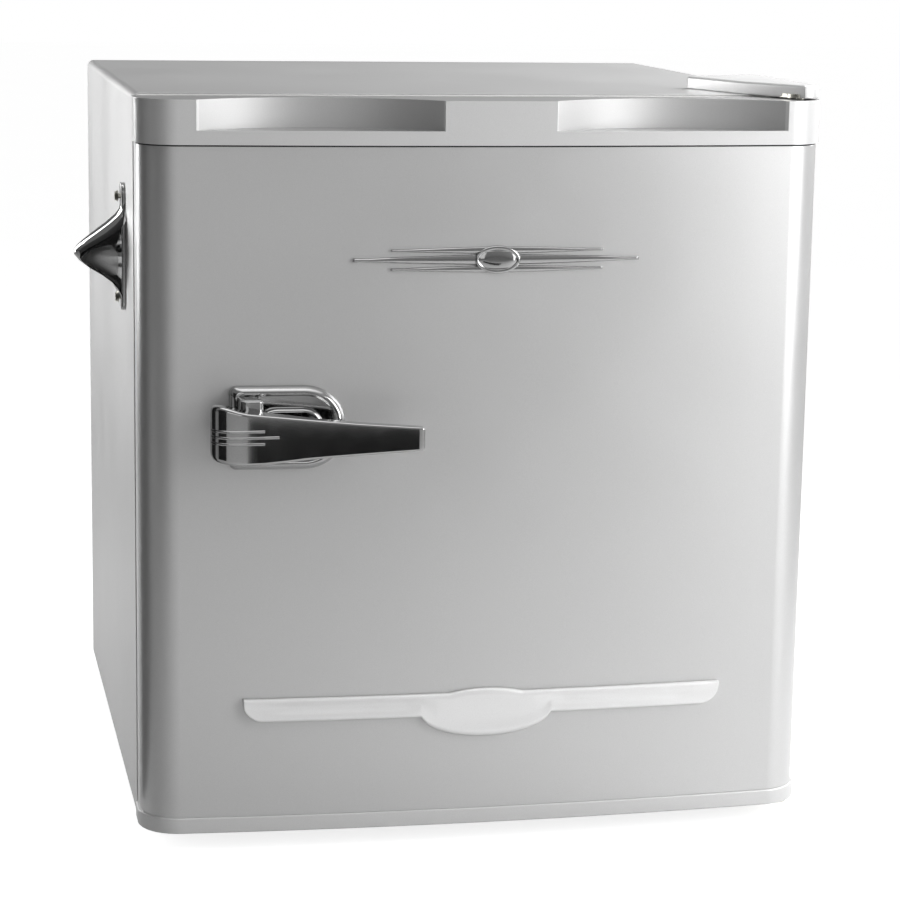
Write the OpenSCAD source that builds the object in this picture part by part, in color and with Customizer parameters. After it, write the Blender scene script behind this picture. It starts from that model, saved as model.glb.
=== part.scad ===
// Retro mini fridge: insulated cabinet, hinged door, chiller box and a small sealed refrigeration circuit.
// Inside each module x runs from the cabinet's middle to its right side, y from the door's front face to
// the cabinet's back, and z up from the floor; placed() then moves the part to the model's own origin.

/* [Cabinet] */
// Width over the cabinet's sides
body_w = 445; // [400:1:540]
// Height from the floor to the top panel
body_h = 488; // [440:1:600]
// Depth from the door's front face to the cabinet's back
body_d = 472; // [440:1:560]
// Clear height under the cabinet
foot_h = 12; // [10:0.5:16]
// Thickness of the sheet steel
sheet_t = 0.8; // [0.5:0.1:1.2]
// Insulated wall at the sides, top and back
wall_t = 34; // [28:1:44]
// Insulated floor
floor_t = 36; // [30:1:44]
// Thickness of the plastic liners
liner_t = 1.6; // [1:0.1:2.5]
// Bend radius of the wrapper's top corners
shell_r = 5; // [3:0.5:8]

/* [Compressor space] */
// Depth of the compressor space
niche_d = 150; // [140:1:165]
// Height of the compressor space
niche_h = 165; // [155:1:180]
// Insulation over and in front of the compressor space
step_t = 28; // [24:1:34]
// Radius of the compressor's can
can_r = 52; // [46:0.5:56]

/* [Door] */
// Thickness of the door without its gasket
door_t = 49; // [44:0.5:56]
// Thickness of the gasket
gasket_t = 8; // [6:0.5:10]
// How far the door's front bulges in the middle
door_bulge = 7; // [3:0.5:10]
// Radius of the door's upright front edges
door_edge_r = 26; // [20:1:30]
// Height of the top end cap
top_cap_h = 28; // [26:0.5:34]
// Height of the bottom end cap
bottom_cap_h = 10.5; // [9:0.5:14]
// How far the end caps stand out past the door's skin
cap_lip = 1.5; // [0.8:0.1:2.5]
// Width of each finger scoop
scoop_w = 162; // [130:1:166]
// Depth of each finger scoop at its middle
scoop_d = 32; // [24:1:33]
// Height of each finger scoop
scoop_h = 19; // [14:0.5:20]
// How far the racks reach into the cabinet past the gasket
rack_reach = 80; // [60:1:84]

/* [Handle, trim and opener] */
// How far the handle stands out from the door's front
handle_reach = 36; // [30:0.5:44]
// Length of the lever
lever_l = 134; // [110:1:150]
// Height of the handle's base plate
base_plate_h = 54; // [46:1:60]
// Width of the badge
badge_w = 186; // [120:1:200]
// Length of the lower trim
trim_l = 319; // [240:1:340]
// Height of the lower trim's bar
trim_h = 15.6; // [12:0.2:20]
// How far the bottle opener stands out from the side
opener_reach = 34.5; // [28:0.5:42]
// Height of the bottle opener's plate
opener_h = 85; // [76:1:95]

/* [Inside] */
// Width of the chiller box
chiller_w = 260; // [220:1:270]
// Depth of the chiller box
chiller_d = 236; // [190:1:240]
// Height of the chiller box
chiller_h = 94; // [80:1:94]
// How far the shelf slides out behind the closed door
shelf_travel = 70; // [40:1:72]
// Diameter of the thermostat's knob
knob_dia = 34; // [28:1:40]
// Radius of the door's hinge pins
pin_r = 3; // [2.5:0.1:4]
// Gap between a hinge pin and its bush
pin_gap = 0.05; // [0.02:0.01:0.1]
// Gap where one piece fits in another
fit_gap = 0.3; // [0.2:0.05:0.5]

/* [Hidden] */
$fn = 48;

// Cabinet levels and planes
cab_y = door_t + gasket_t;              // front plane of the cabinet
half_w = body_w / 2;
inner_half = half_w - sheet_t;          // inside face of the wrapper's sides
cav_half = half_w - wall_t;             // inside face of the liner's sides
cav_z0 = foot_h + floor_t;
cav_z1 = body_h - wall_t;
cav_y1 = body_d - wall_t;
niche_y = body_d - niche_d;
niche_z = foot_h + niche_h;
hump_y = niche_y - step_t;
hump_z = niche_z + step_t;

// Door planes
door_z0 = foot_h + 1;
door_z1 = body_h - 1;
skin_z0 = door_z0 + bottom_cap_h;
skin_z1 = door_z1 - top_cap_h;
door_back = door_t - liner_t;           // where the skin and caps end and the liner's plate begins
pin_x = half_w - 12.5;
pin_y = 27;
bush_r = pin_r + 3;
bush_l = 9;
hinge_t = 2.5;
pin_l = 10;

// Dike and pan of the door's liner
dike_inset = 14;
dike_w = 16;
dike_h = 15;
dike_half = cav_half - dike_inset;
dike_z0 = cav_z0 + dike_inset;
dike_z1 = cav_z1 - dike_inset;
pan_half = dike_half - dike_w;
pan_y = door_t + 3;
dike_y = cab_y + dike_h;
rack_y1 = cab_y + rack_reach;

// Shelf, its rails and the racks
shelf_r = 2.6;                          // radius of the shelf's border rod
wire_r = 1.4;
rail_h = 5;
rail_reach = 8;
shelf_z = hump_z + rail_h + 2 + shelf_r;   // height of the border rod's middle
shelf_half = cav_half - 2 - shelf_r;
shelf_y0 = dike_y + 3 + shelf_r + shelf_travel;
shelf_y1 = cav_y1 - 6;
upper_rack_z = shelf_z + 15;
upper_rack_h = 56;
lower_rack_z = dike_z0 + dike_w + 3;
lower_rack_bar_z = hump_z - 12;

// Chiller box, its bezel and its door
chiller_x = -cav_half + 8 + chiller_w / 2;
chiller_z1 = cav_z1 - 6;
chiller_z0 = chiller_z1 - chiller_h;
chiller_y1 = cav_y1 - 22;
chiller_y0 = chiller_y1 - chiller_d;
evap_t = 1.8;
bezel_t = 9;
bezel_w = 9;
bezel_y0 = chiller_y0 - bezel_t;
flap_t = 3;
flap_pin_r = 2;
flap_gap = 1.2;
flap_half = chiller_w / 2 - bezel_w - flap_gap;
flap_pin_z = chiller_z1 - bezel_w - 4;
flap_pin_y = bezel_y0 + 4;
flap_z0 = chiller_z0 + bezel_w + flap_gap;

// Drip tray under the chiller box
tray_h = 16;
tray_gap = 4;
tray_z1 = chiller_z0 - tray_gap;
tray_z0 = tray_z1 - tray_h;
tray_half = chiller_w / 2 - 8;
tray_y0 = chiller_y0 - 4;
tray_y1 = chiller_y1 - 10;
tray_wall = 2;
tray_lip = 5;

// Thermostat on the right wall
stat_w = 34;
stat_d = 96;
stat_h = 58;
stat_x1 = cav_half;
stat_x0 = stat_x1 - stat_w;
stat_y0 = chiller_y0 + 22;
stat_z1 = cav_z1 - 16;
stat_z0 = stat_z1 - stat_h;
knob_y = stat_y0 + 32;
knob_z = (stat_z0 + stat_z1) / 2;
knob_h = 13;
spindle_r = 3;

// Handle, badge, trim and opener
lever_z = 281;
lever_x0 = -182;
plate_x0 = -167.5;
plate_l = 74;
plate_t = 7;
rim_h = 2.5;
lever_back = handle_reach * 0.55;       // how far out the lever's back lies
badge_x = 3.5;
badge_z = 387;
trim_x = 1;
trim_z = 95;
trim_t = 4;
oval_half_w = 43.5;
oval_half_h = 16.2;
oval_drop = 5.7;                        // how far the oval's middle lies under the bar's
scoop_left_x = -112.5;
scoop_right_x = 121.5;
opener_y = 121;
opener_z = body_h - 105;
cover_h = 8.5;
back_head = 1.6;                        // height of the heads of the screws in the back

// Refrigeration circuit
can_x = 20;
can_y = body_d - niche_d / 2;
tray_t = 1.5;
grommet_h = 12;
can_z0 = foot_h + tray_t + grommet_h;
can_h = 112;
mount_dx = 66;
mount_dy = 36;
tube_r = 2.4;
coil_r = 2.2;
coil_x = inner_half - coil_r - 0.2;
coil_y0 = opener_y + 15;
coil_y1 = body_d - 28;
coil_rows = 5;
coil_z1 = body_h - 50;
coil_pitch = 24;
leg_y = body_d - 14;
pipe_y = cav_y1 + 7;                    // plane of the pipes behind the liner
suction_x = can_x - can_r * 0.55;
drier_at = [-half_w + 56, niche_y + 34, foot_h + 78];

// Feet
foot_x = half_w - 72;
foot_y = cab_y + 45;
foot_travel = 8;
stem_r = 4;
insert_r = 7;
insert_h = 20;

// Moves a part from the working frame to the model's origin, the middle of the footprint on the floor
module placed() translate([(opener_reach - cap_lip) / 2, (handle_reach - body_d - back_head) / 2, 0]) children();

// A shape drawn in x and z, and extruded from y0 to y1
module along_y(y0, y1) translate([0, y1, 0]) rotate([90, 0, 0]) linear_extrude(y1 - y0) children();

// A shape drawn in y and z, and extruded from x0 to x1
module along_x(x0, x1) translate([x0, 0, 0]) rotate([90, 0, 90]) linear_extrude(x1 - x0) children();

// A box between two corners
module block(a, b) translate(a) cube(b - a);

// A rectangle between two corners
module sheet2d(a, b) translate(a) square(b - a);

// A rectangle with round corners
module round_rect(a, b, r) {
    sheet2d([a[0] + r, a[1]], [b[0] - r, b[1]]);
    sheet2d([a[0], a[1] + r], [b[0], b[1] - r]);
    for (x = [a[0] + r, b[0] - r], y = [a[1] + r, b[1] - r]) translate([x, y]) circle(r);
}

// An arch: square at the bottom, round at the top corners
module arch(half, z0, z1, r) {
    sheet2d([-half, z0], [half, z1 - r]);
    sheet2d([r - half, z0], [half - r, z1]);
    for (s = [-1, 1]) translate([s * (half - r), z1 - r]) circle(r);
}

// A countersunk-looking pan screw, head up, with its seat at the origin
module screw(shank_r, shank_l, head_r, head_h) {
    translate([0, 0, -shank_l]) cylinder(r = shank_r, h = shank_l + head_h / 2);
    difference() {
        cylinder(r1 = head_r, r2 = head_r * 0.72, h = head_h);
        for (a = [0, 90]) rotate(a) translate([-head_r * 0.6, -0.4, head_h * 0.5]) cube([head_r * 1.2, 0.8, head_h]);
    }
}

// Points of an arc about c, from angle a0 to a1
function arc(c, r, a0, a1, n) = [for (i = [0:n]) let (a = a0 + (a1 - a0) * i / n) c + r * [cos(a), sin(a)]];

// The door's outline seen from above, grown by o: a slow bulge in front with round edges, square at the back
function bulge_y(x) = door_bulge * pow(x / (half_w - door_edge_r), 2);
function door_outline(o, back) = let (
    span = half_w - door_edge_r,
    lean = atan(2 * door_bulge / span),
    r = door_edge_r + o,
    cy = door_bulge + door_edge_r)
    concat(
        [[-half_w - o, back]],
        arc([-span, cy], r, 180, 270 - lean, 10),
        [for (i = [1:15]) let (x = span * (i / 8 - 1)) [x * (span + r * sin(lean)) / span * 0.985, bulge_y(x) - o]],
        arc([span, cy], r, 270 + lean, 360, 10),
        [[half_w + o, back]]);

// The door's body as a solid between two heights
module door_solid(o, z0, z1, back = door_back) translate([0, 0, z0]) linear_extrude(z1 - z0) polygon(door_outline(o, back));

// A plate that follows the door's bulge: the children are its outline in x and z, and t its thickness
module on_door(t) difference() {
    intersection() {
        along_y(-t - 8, door_edge_r) children();
        door_solid(t, 0, body_h, door_t);
    }
    door_solid(0, -1, body_h + 1, door_t);
}

// Outline in y and z of the space inside the cabinet's liner, grown by o into the walls, open at y0
function cavity(o, y0) = [[y0, cav_z0 - o], [hump_y + o, cav_z0 - o], [hump_y + o, hump_z - o],
    [cav_y1 + o, hump_z - o], [cav_y1 + o, cav_z1 + o], [y0, cav_z1 + o]];

// Rounds the corners of a route through points p with bends of radius r
function unit(v) = v / norm(v);
function bend(a, b, c, r, n) = let (
    u = unit(a - b), w = unit(c - b), half = acos(max(-1, min(1, u * w))) / 2,
    cut = min(r / tan(half), norm(a - b) * 0.49, norm(c - b) * 0.49), rr = cut * tan(half),
    centre = b + unit(u + w) * (rr / sin(half)), from = b + u * cut - centre, side = unit(w - (w * u) * u),
    turn = 180 - 2 * half)
    [for (i = [0:n]) let (t = turn * i / n) centre + from * cos(t) - u * rr * sin(t)];
function route(p, r, n = 5) = concat([p[0]],
    [for (i = [1:len(p) - 2]) each bend(p[i - 1], p[i], p[i + 1], r, n)], [p[len(p) - 1]]);

// Frames carried along a route, so that a swept ring doesn't twist
function heading(p, i) = unit(p[min(i + 1, len(p) - 1)] - p[max(i - 1, 0)]);
function level(v, t) = unit(v - (v * t) * t);
function start_side(t) = level(abs(t[2]) < 0.9 ? [0, 0, 1] : [1, 0, 0], t);
function sides(p, i = 0, last = undef) = i >= len(p) ? [] :
    let (t = heading(p, i), s = i == 0 ? start_side(t) : level(last, t)) concat([s], sides(p, i + 1, s));

// A tube of radius r swept along the points p
module tube(p, r, n = 8) {
    s = sides(p);
    points = [for (i = [0:len(p) - 1]) let (t = heading(p, i), w = cross(t, s[i]))
        for (k = [0:n - 1]) let (a = 360 * k / n) p[i] + r * (cos(a) * s[i] + sin(a) * w)];
    walls = [for (i = [0:len(p) - 2], k = [0:n - 1])
        [i * n + k, (i + 1) * n + k, (i + 1) * n + (k + 1) % n, i * n + (k + 1) % n]];
    ends = [[for (k = [0:n - 1]) k], [for (k = [n - 1:-1:0]) (len(p) - 1) * n + k]];
    polyhedron(points, concat(walls, ends), convexity = 8);
}

// A flat closed loop of tube through the points p
rod_sides = 8;
module loop_tube(p, r, n = rod_sides) {
    c = len(p);
    points = [for (i = [0:c - 1]) let (t = unit(p[(i + 1) % c] - p[(i + c - 1) % c]), w = cross(t, [0, 0, 1]))
        for (k = [0:n - 1]) let (a = 360 * (k + 0.5) / n) p[i] + r * (cos(a) * [0, 0, 1] + sin(a) * w)];
    polyhedron(points, [for (i = [0:c - 1], k = [0:n - 1]) let (j = (i + 1) % c, m = (k + 1) % n)
        [i * n + k, j * n + k, j * n + m, i * n + m]], convexity = 8);
}

// ---------------------------------------------------------------- cabinet

// Painted wrapper: top and sides in one folded sheet
module outer_shell() color("silver") placed() difference() {
    along_y(cab_y, body_d) difference() {
        arch(half_w, foot_h, body_h, shell_r);
        arch(inner_half, foot_h - 1, body_h - sheet_t, shell_r - sheet_t);
    }
    for (p = upper_hinge_holes()) translate([p[0], p[1], body_h - 5]) cylinder(r = 2.2, h = 10);
    for (z = opener_holes()) translate([-half_w - 1, opener_y, z]) rotate([0, 90, 0]) cylinder(r = 2.2, h = 5);
}

// Floor sheet that steps up over the compressor space
module base_pan() color("dimgray") placed() difference() {
    along_x(-inner_half, inner_half) polygon([
        [cab_y + liner_t, foot_h], [niche_y, foot_h], [niche_y, niche_z], [body_d - sheet_t, niche_z],
        [body_d - sheet_t, niche_z + sheet_t], [niche_y - sheet_t, niche_z + sheet_t],
        [niche_y - sheet_t, foot_h + sheet_t], [cab_y + liner_t, foot_h + sheet_t]]);
    for (s = [-1, 1]) translate([s * foot_x, foot_y, 0]) cylinder(r = stem_r + 0.6, h = 40);
    for (p = lower_hinge_holes()) translate([p[0], p[1], 0]) cylinder(r = 2.2, h = 40);
    for (x = [-coil_x, coil_x], y = [niche_y + 14, leg_y]) pipe_hole([x, y]);
    for (x = [suction_x, chiller_x - 30]) pipe_hole([x, pipe_y]);
}
module pipe_hole(p) translate([p[0], p[1], niche_z - 3]) cylinder(r = tube_r + 1, h = 8);

// Flat sheet that closes the back above the compressor space
module back_panel() color("silver") placed() difference() {
    along_y(body_d - sheet_t, body_d) arch(inner_half, niche_z, body_h - sheet_t, shell_r - sheet_t);
    for (p = back_screw_places()) translate([p[0], body_d - 3, p[1]]) rotate([-90, 0, 0]) cylinder(r = 1.8, h = 6);
}
function back_screw_places() = [for (x = [12 - inner_half, 0, inner_half - 12], z = [niche_z + 10, body_h - 20]) [x, z]];

// Screws of the back panel
module back_panel_screws() color("gainsboro") placed() for (p = back_screw_places())
    translate([p[0], body_d - 2, p[1]]) rotate([-90, 0, 0]) translate([0, 0, 2]) {
        translate([0, 0, -9]) cylinder(r = 1.5, h = 9);
        difference() {
            cylinder(r1 = 3.6, r2 = 2.6, h = back_head);
            for (a = [0, 90]) rotate(a) translate([-2, -0.4, back_head / 2]) cube([4, 0.8, 2]);
        }
    }

// Foamed insulation between the wrapper and the liner
module insulation_foam() color("khaki") placed() difference() {
    along_y(cab_y + liner_t, body_d - sheet_t) arch(inner_half, foot_h + sheet_t, body_h - sheet_t, shell_r - sheet_t);
    along_x(-cav_half - liner_t, cav_half + liner_t) polygon(cavity(liner_t, 0));
    block([-half_w, niche_y - sheet_t, 0], [half_w, body_d + 1, niche_z + sheet_t]);
    for (s = [-1, 1]) {
        translate([s * foot_x, foot_y, 0]) cylinder(r = insert_r + fit_gap, h = foot_h + sheet_t + insert_h + 12);
        for (i = [0:coil_rows - 1]) coil_slot(s, coil_y0 - 6, leg_y + 3, coil_z1 - i * coil_pitch);
        for (y = [niche_y + 14, leg_y]) leg_slot(s, y);
        for (y = [coil_y0, coil_y1]) bend_slot(s, y);
    }
    for (p = back_screw_places()) translate([p[0], body_d - 16, p[1]]) rotate([-90, 0, 0]) cylinder(r = 2, h = 20);
    for (p = upper_hinge_holes()) translate([p[0], p[1], body_h - 22]) cylinder(r = 2.4, h = 30);
    for (p = lower_hinge_holes()) translate([p[0], p[1], 0]) cylinder(r = 2.4, h = foot_h + 18);
    for (z = opener_holes()) translate([-half_w - 1, opener_y, z]) rotate([0, 90, 0]) cylinder(r = 2.4, h = 20);
    for (p = hanger_places()) translate([p[0], p[1], cav_z1]) cylinder(r = 2.2, h = 20);
    block([chiller_x - 38, cav_y1 + 1, niche_z], [max(chiller_x + 38, suction_x + 6), pipe_y + 5, chiller_z0 + 30]);
}
module coil_slot(s, y0, y1, z) translate([s * (coil_x + 3), (y0 + y1) / 2, z]) cube([12, y1 - y0, 12], center = true);
module leg_slot(s, y) block([s > 0 ? coil_x - 3 : -half_w, y - 6, niche_z - 1],
    [s > 0 ? half_w : -coil_x + 3, y + 6, coil_z1 + 6]);
module bend_slot(s, y) block([s > 0 ? coil_x - 3 : -half_w, y - 6, coil_z1 - (coil_rows - 1) * coil_pitch - 6],
    [s > 0 ? half_w : -coil_x + 3, y + 6, coil_z1 + 6]);

// White formed liner with its front frame, shelf rails and the step over the compressor space
module inner_liner() color("white") placed() {
    difference() {
        union() {
            along_x(-cav_half - liner_t, cav_half + liner_t) polygon(cavity(liner_t, cab_y));
            along_y(cab_y, cab_y + liner_t) arch(inner_half, foot_h, body_h - sheet_t, shell_r - sheet_t);
        }
        along_x(-cav_half, cav_half) polygon(cavity(0, cab_y - 1));
        for (p = hanger_places()) translate([p[0], p[1], cav_z1 - 1]) cylinder(r = 2, h = 5);
        translate([chiller_x + 30, cav_y1 - 1, chiller_z0 + 18]) rotate([-90, 0, 0]) cylinder(r = tube_r + 1, h = 5);
        translate([chiller_x - 30, cav_y1 - 1, chiller_z0 + 18]) rotate([-90, 0, 0]) cylinder(r = tube_r + 1, h = 5);
    }
    for (s = [-1, 1], z = [shelf_z - shelf_r * cos(180 / rod_sides) - rail_h - 0.05, shelf_z + shelf_r + 2])
        block([s > 0 ? cav_half - rail_reach : -cav_half, cab_y + 22, z],
            [s > 0 ? cav_half : rail_reach - cav_half, cav_y1, z + rail_h]);
}

// Cross plate that carries the compressor and the rear feet
module compressor_tray() color("dimgray") placed() difference() {
    along_x(-inner_half + fit_gap, inner_half - fit_gap) polygon([
        [niche_y + 1, foot_h], [body_d - 1, foot_h], [body_d - 1, foot_h + 16], [body_d - 1 - tray_t, foot_h + 16],
        [body_d - 1 - tray_t, foot_h + tray_t], [niche_y + 1 + tray_t, foot_h + tray_t],
        [niche_y + 1 + tray_t, foot_h + 16], [niche_y + 1, foot_h + 16]]);
    for (p = mount_places()) translate([p[0], p[1], 0]) cylinder(r = 3.4, h = 40);
    for (s = [-1, 1]) translate([s * (half_w - 45), body_d - 36, 0]) cylinder(r = 3.2, h = 40);
    translate(gland_place() - [0, 1, 0]) rotate([-90, 0, 0]) cylinder(r = gland_r, h = tray_t + 2);
}
function mount_places() = [for (dx = [-mount_dx, mount_dx], dy = [-mount_dy, mount_dy]) [can_x + dx, can_y + dy]];

// Two fixed pads under the compressor plate
module rear_feet() color("black") placed() for (s = [-1, 1]) translate([s * (half_w - 45), body_d - 36, 0]) {
    cylinder(r1 = 13, r2 = 14, h = 3);
    translate([0, 0, 3]) cylinder(r = 11, h = foot_h - 3);
    translate([0, 0, foot_h - 1]) cylinder(r = 3, h = 1 + tray_t + 1);
    translate([0, 0, foot_h + tray_t]) cylinder(r1 = 4.6, r2 = 3, h = 3);
}

// Threaded inserts that hold the levelling feet
module foot_inserts() color("gray") placed() for (s = [-1, 1])
    translate([s * foot_x, foot_y, foot_h + sheet_t]) difference() {
        cylinder(r = insert_r, h = insert_h);
        translate([0, 0, -1]) cylinder(r = stem_r + pin_gap, h = insert_h + 2);
    }

// Screw-in levelling foot: pad, hexagon and stem
module leveling_foot(s) color("black") placed() translate([s * foot_x, foot_y, 0]) {
    cylinder(r = 15, h = 2);
    translate([0, 0, 2]) cylinder(r1 = 15, r2 = 13, h = 2.5);
    translate([0, 0, 4.5]) cylinder(r = 9, h = foot_h - 5.5, $fn = 6);
    translate([0, 0, 4.5]) cylinder(r = stem_r, h = foot_h + 13);
}
module leveling_foot_left() leveling_foot(-1);
module leveling_foot_right() leveling_foot(1);

// ---------------------------------------------------------------- refrigeration circuit

// Welded compressor can with its foot plate, terminal box seat and pipe stubs
module compressor() color("black") placed() {
    translate([can_x, can_y, can_z0]) {
        difference() {
            block([-mount_dx - 9, -mount_dy - 9, 0], [mount_dx + 9, mount_dy + 9, 2.5]);
            for (x = [-mount_dx, mount_dx], y = [-mount_dy, mount_dy])
                translate([x, y, -1]) cylinder(r = 5, h = 5);
            for (x = [-mount_dx - 10, mount_dx + 10]) translate([x, 0, -1]) cylinder(r = 26, h = 5);
        }
        rotate_extrude() polygon(concat([[0, 2]], [[can_r - 10, 2]],
            arc([can_r - 12, 14], 12, -90, 0, 6), [[can_r, can_h * 0.56], [can_r + 3.5, can_h * 0.56],
            [can_r + 3.5, can_h * 0.6], [can_r - 1, can_h * 0.6]],
            [for (i = [0:10]) let (a = 9 * i) [(can_r - 1) * cos(a), can_h * 0.62 + can_h * 0.38 * sin(a)]]));
        translate([-can_r * 0.55, 0, can_h * 0.86]) cylinder(r = 3.4, h = 14);
        translate([can_r * 0.5, 0, can_h * 0.86]) cylinder(r = 4.2, h = 14);
    }
}

// Rubber mounts in the compressor's feet
module compressor_grommets() color("dimgray") placed() for (p = mount_places())
    translate([p[0], p[1], foot_h + tray_t]) difference() {
        union() {
            cylinder(r = 8.5, h = grommet_h);
            cylinder(r = 4.8, h = grommet_h + 2.5);
            translate([0, 0, grommet_h + 2.5]) cylinder(r = 7.5, h = 2.5);
        }
        translate([0, 0, -1]) cylinder(r = 3.3, h = grommet_h + 8);
    }

// Bolts through the rubber mounts
module compressor_bolts() color("gainsboro") placed() for (p = mount_places())
    translate([p[0], p[1], foot_h + tray_t + grommet_h + 5]) {
        translate([0, 0, -grommet_h - 5 - tray_t - 4]) cylinder(r = 3, h = grommet_h + 5 + tray_t + 4);
        cylinder(r = 7, h = 1.2);
        translate([0, 0, 1.2]) cylinder(r = 5.5, h = 4, $fn = 6);
    }

// Cover over the start relay and overload, clipped to the can's side
module relay_cover() color("black") placed() translate([can_x - can_r, can_y, can_z0 + 36]) difference() {
    translate([-12, 0, 0]) cube([24, 40, 42], center = true);
    translate([-9, 0, -2]) cube([26, 36, 42], center = true);
    translate([can_r, 0, -40]) cylinder(r = can_r, h = 80);
}

// Gland in the compressor plate's rear flange, where the mains lead enters
module cord_gland() color("black") placed() translate(gland_place()) rotate([-90, 0, 0]) difference() {
    union() {
        translate([0, 0, -12]) cylinder(r1 = 3.6, r2 = gland_r, h = 8);
        translate([0, 0, -4]) cylinder(r = gland_r, h = 4 + tray_t);
        translate([0, 0, -2.5]) cylinder(r = gland_r + 2.5, h = 2.5);
    }
    translate([0, 0, -13]) cylinder(r = 2.6, h = 20);
}
gland_r = 4.5;
function gland_place() = [-half_w + 62, body_d - 1 - tray_t, foot_h + 9];

// Copper drier between the condenser and the capillary tube
module filter_drier() color("peru") placed() translate(drier_at) {
    cylinder(r = 9.5, h = 52);
    translate([0, 0, 52]) cylinder(r1 = 9.5, r2 = 3.2, h = 9);
    translate([0, 0, -9]) cylinder(r1 = 3.2, r2 = 9.5, h = 9);
    translate([0, 0, -14]) cylinder(r = 2, h = 5.5);
}

// Discharge pipe, from the can to the right-hand condenser coil
module discharge_pipe() color("peru") placed() tube(route([
    [can_x + can_r * 0.5, can_y, can_z0 + can_h * 0.86 + 14], [can_x + can_r * 0.5, can_y, niche_z - 10],
    [coil_x, can_y, niche_z - 10], [coil_x, niche_y + 14, niche_z - 10], [coil_x, niche_y + 14, niche_z - 1.5]], 9), tube_r);

// Link between the two condenser coils, along the back of the compressor space
module link_pipe() color("peru") placed() tube(route([
    [coil_x, leg_y, niche_z - 1.5], [coil_x, leg_y, niche_z - 18], [-coil_x, leg_y, niche_z - 18],
    [-coil_x, leg_y, niche_z - 1.5]], 9), tube_r);

// Pipe from the left-hand condenser coil to the drier
module drier_pipe() color("peru") placed() tube(route([
    [-coil_x, niche_y + 14, niche_z - 1.5], [-coil_x, niche_y + 14, niche_z - 10],
    [drier_at[0], niche_y + 14, niche_z - 10], [drier_at[0], drier_at[1], niche_z - 10],
    drier_at + [0, 0, 61]], 6), tube_r);

// One condenser coil, laid against the inside of a side sheet
function coil_points(s) = let (x = s * coil_x, zs = [for (i = [0:coil_rows - 1]) coil_z1 - i * coil_pitch])
    concat([[x, niche_y + 14, niche_z - 1.5]], [[x, niche_y + 14, zs[coil_rows - 1] - 0.01]],
        [for (i = [coil_rows - 1:-1:0]) each (coil_rows - 1 - i) % 2 == 0
            ? [[x, i == coil_rows - 1 ? niche_y + 14 : coil_y1, zs[i]], [x, coil_y0, zs[i]]]
            : [[x, coil_y0, zs[i]], [x, coil_y1, zs[i]]]]);
module coil(s) color("peru") placed() {
    p = coil_points(s);
    q = [for (i = [0:len(p) - 1]) if (i == 0 || norm(p[i] - p[i - 1]) > 1) p[i]];
    last = q[len(q) - 1];
    tube(route(concat([for (i = [0:len(q) - 2]) q[i]], [[last[0], leg_y, last[2]], [last[0], leg_y, niche_z - 1.5]]), 8, 4), coil_r);
}
module condenser_coil_left() coil(-1);
module condenser_coil_right() coil(1);

// Fine tube from the drier up to the chiller box
module capillary_tube() color("peru") placed() tube(route([
    drier_at + [0, 0, -14], drier_at + [0, 0, -26], [chiller_x - 30, drier_at[1], drier_at[2] - 26],
    [chiller_x - 30, drier_at[1], niche_z - 30], [chiller_x - 30, pipe_y, niche_z - 30],
    [chiller_x - 30, pipe_y, chiller_z0 + 18], [chiller_x - 30, chiller_y1, chiller_z0 + 18]], 5, 4), 1);

// Return pipe from the chiller box to the can
module suction_pipe() color("peru") placed() tube(route([
    [chiller_x + 30, chiller_y1, chiller_z0 + 18], [chiller_x + 30, pipe_y, chiller_z0 + 18],
    [chiller_x + 30, pipe_y, niche_z + 70], [suction_x, pipe_y, niche_z + 60],
    [suction_x, pipe_y, niche_z - 12], [suction_x, can_y, niche_z - 12],
    [suction_x, can_y, can_z0 + can_h * 0.86 + 14]], 5, 4), tube_r);

// ---------------------------------------------------------------- chiller box, shelf and thermostat

// Roll-bonded aluminium box with its refrigerant channels
function hanger_places() = [for (x = [-1, 1], y = [0, 1]) [chiller_x + x * (chiller_w / 2 - 30), chiller_y0 + 30 + y * (chiller_d - 60)]];
module evaporator() color("lightgray") placed() {
    difference() {
        union() {
            along_y(chiller_y0, chiller_y1) difference() {
                translate([chiller_x, 0]) round_rect([-chiller_w / 2, chiller_z0], [chiller_w / 2, chiller_z1], 8);
                translate([chiller_x, 0]) round_rect([evap_t - chiller_w / 2, chiller_z0 + evap_t],
                    [chiller_w / 2 - evap_t, chiller_z1 - evap_t], 8 - evap_t);
            }
            along_y(chiller_y1 - evap_t, chiller_y1) translate([chiller_x, 0])
                round_rect([-chiller_w / 2, chiller_z0], [chiller_w / 2, chiller_z1], 8);
            for (i = [0:6]) translate([chiller_x, chiller_y0 + 25 + i * 31, chiller_z0 + evap_t])
                rotate([0, 90, 0]) cylinder(r = 3, h = chiller_w - 60, center = true);
        }
        block([chiller_x - chiller_w, chiller_y0 - 1, chiller_z0 - 9], [chiller_x + chiller_w, chiller_y1 + 9, chiller_z0]);
        for (p = hanger_places()) translate([p[0], p[1], chiller_z1 - 5]) cylinder(r = 2, h = 9);
    }
}

// Spacers and screws that hang the chiller box from the liner
module evaporator_hangers() color("white") placed() for (p = hanger_places()) translate([p[0], p[1], 0]) {
    translate([0, 0, chiller_z1]) cylinder(r = 6, h = cav_z1 - chiller_z1);
    translate([0, 0, chiller_z1 - evap_t - 2.5]) cylinder(r1 = 3, r2 = 4.2, h = 2.5);
    translate([0, 0, chiller_z1 - evap_t - 0.5]) cylinder(r = 1.7, h = cav_z1 - chiller_z1 + 9);
}

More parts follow.
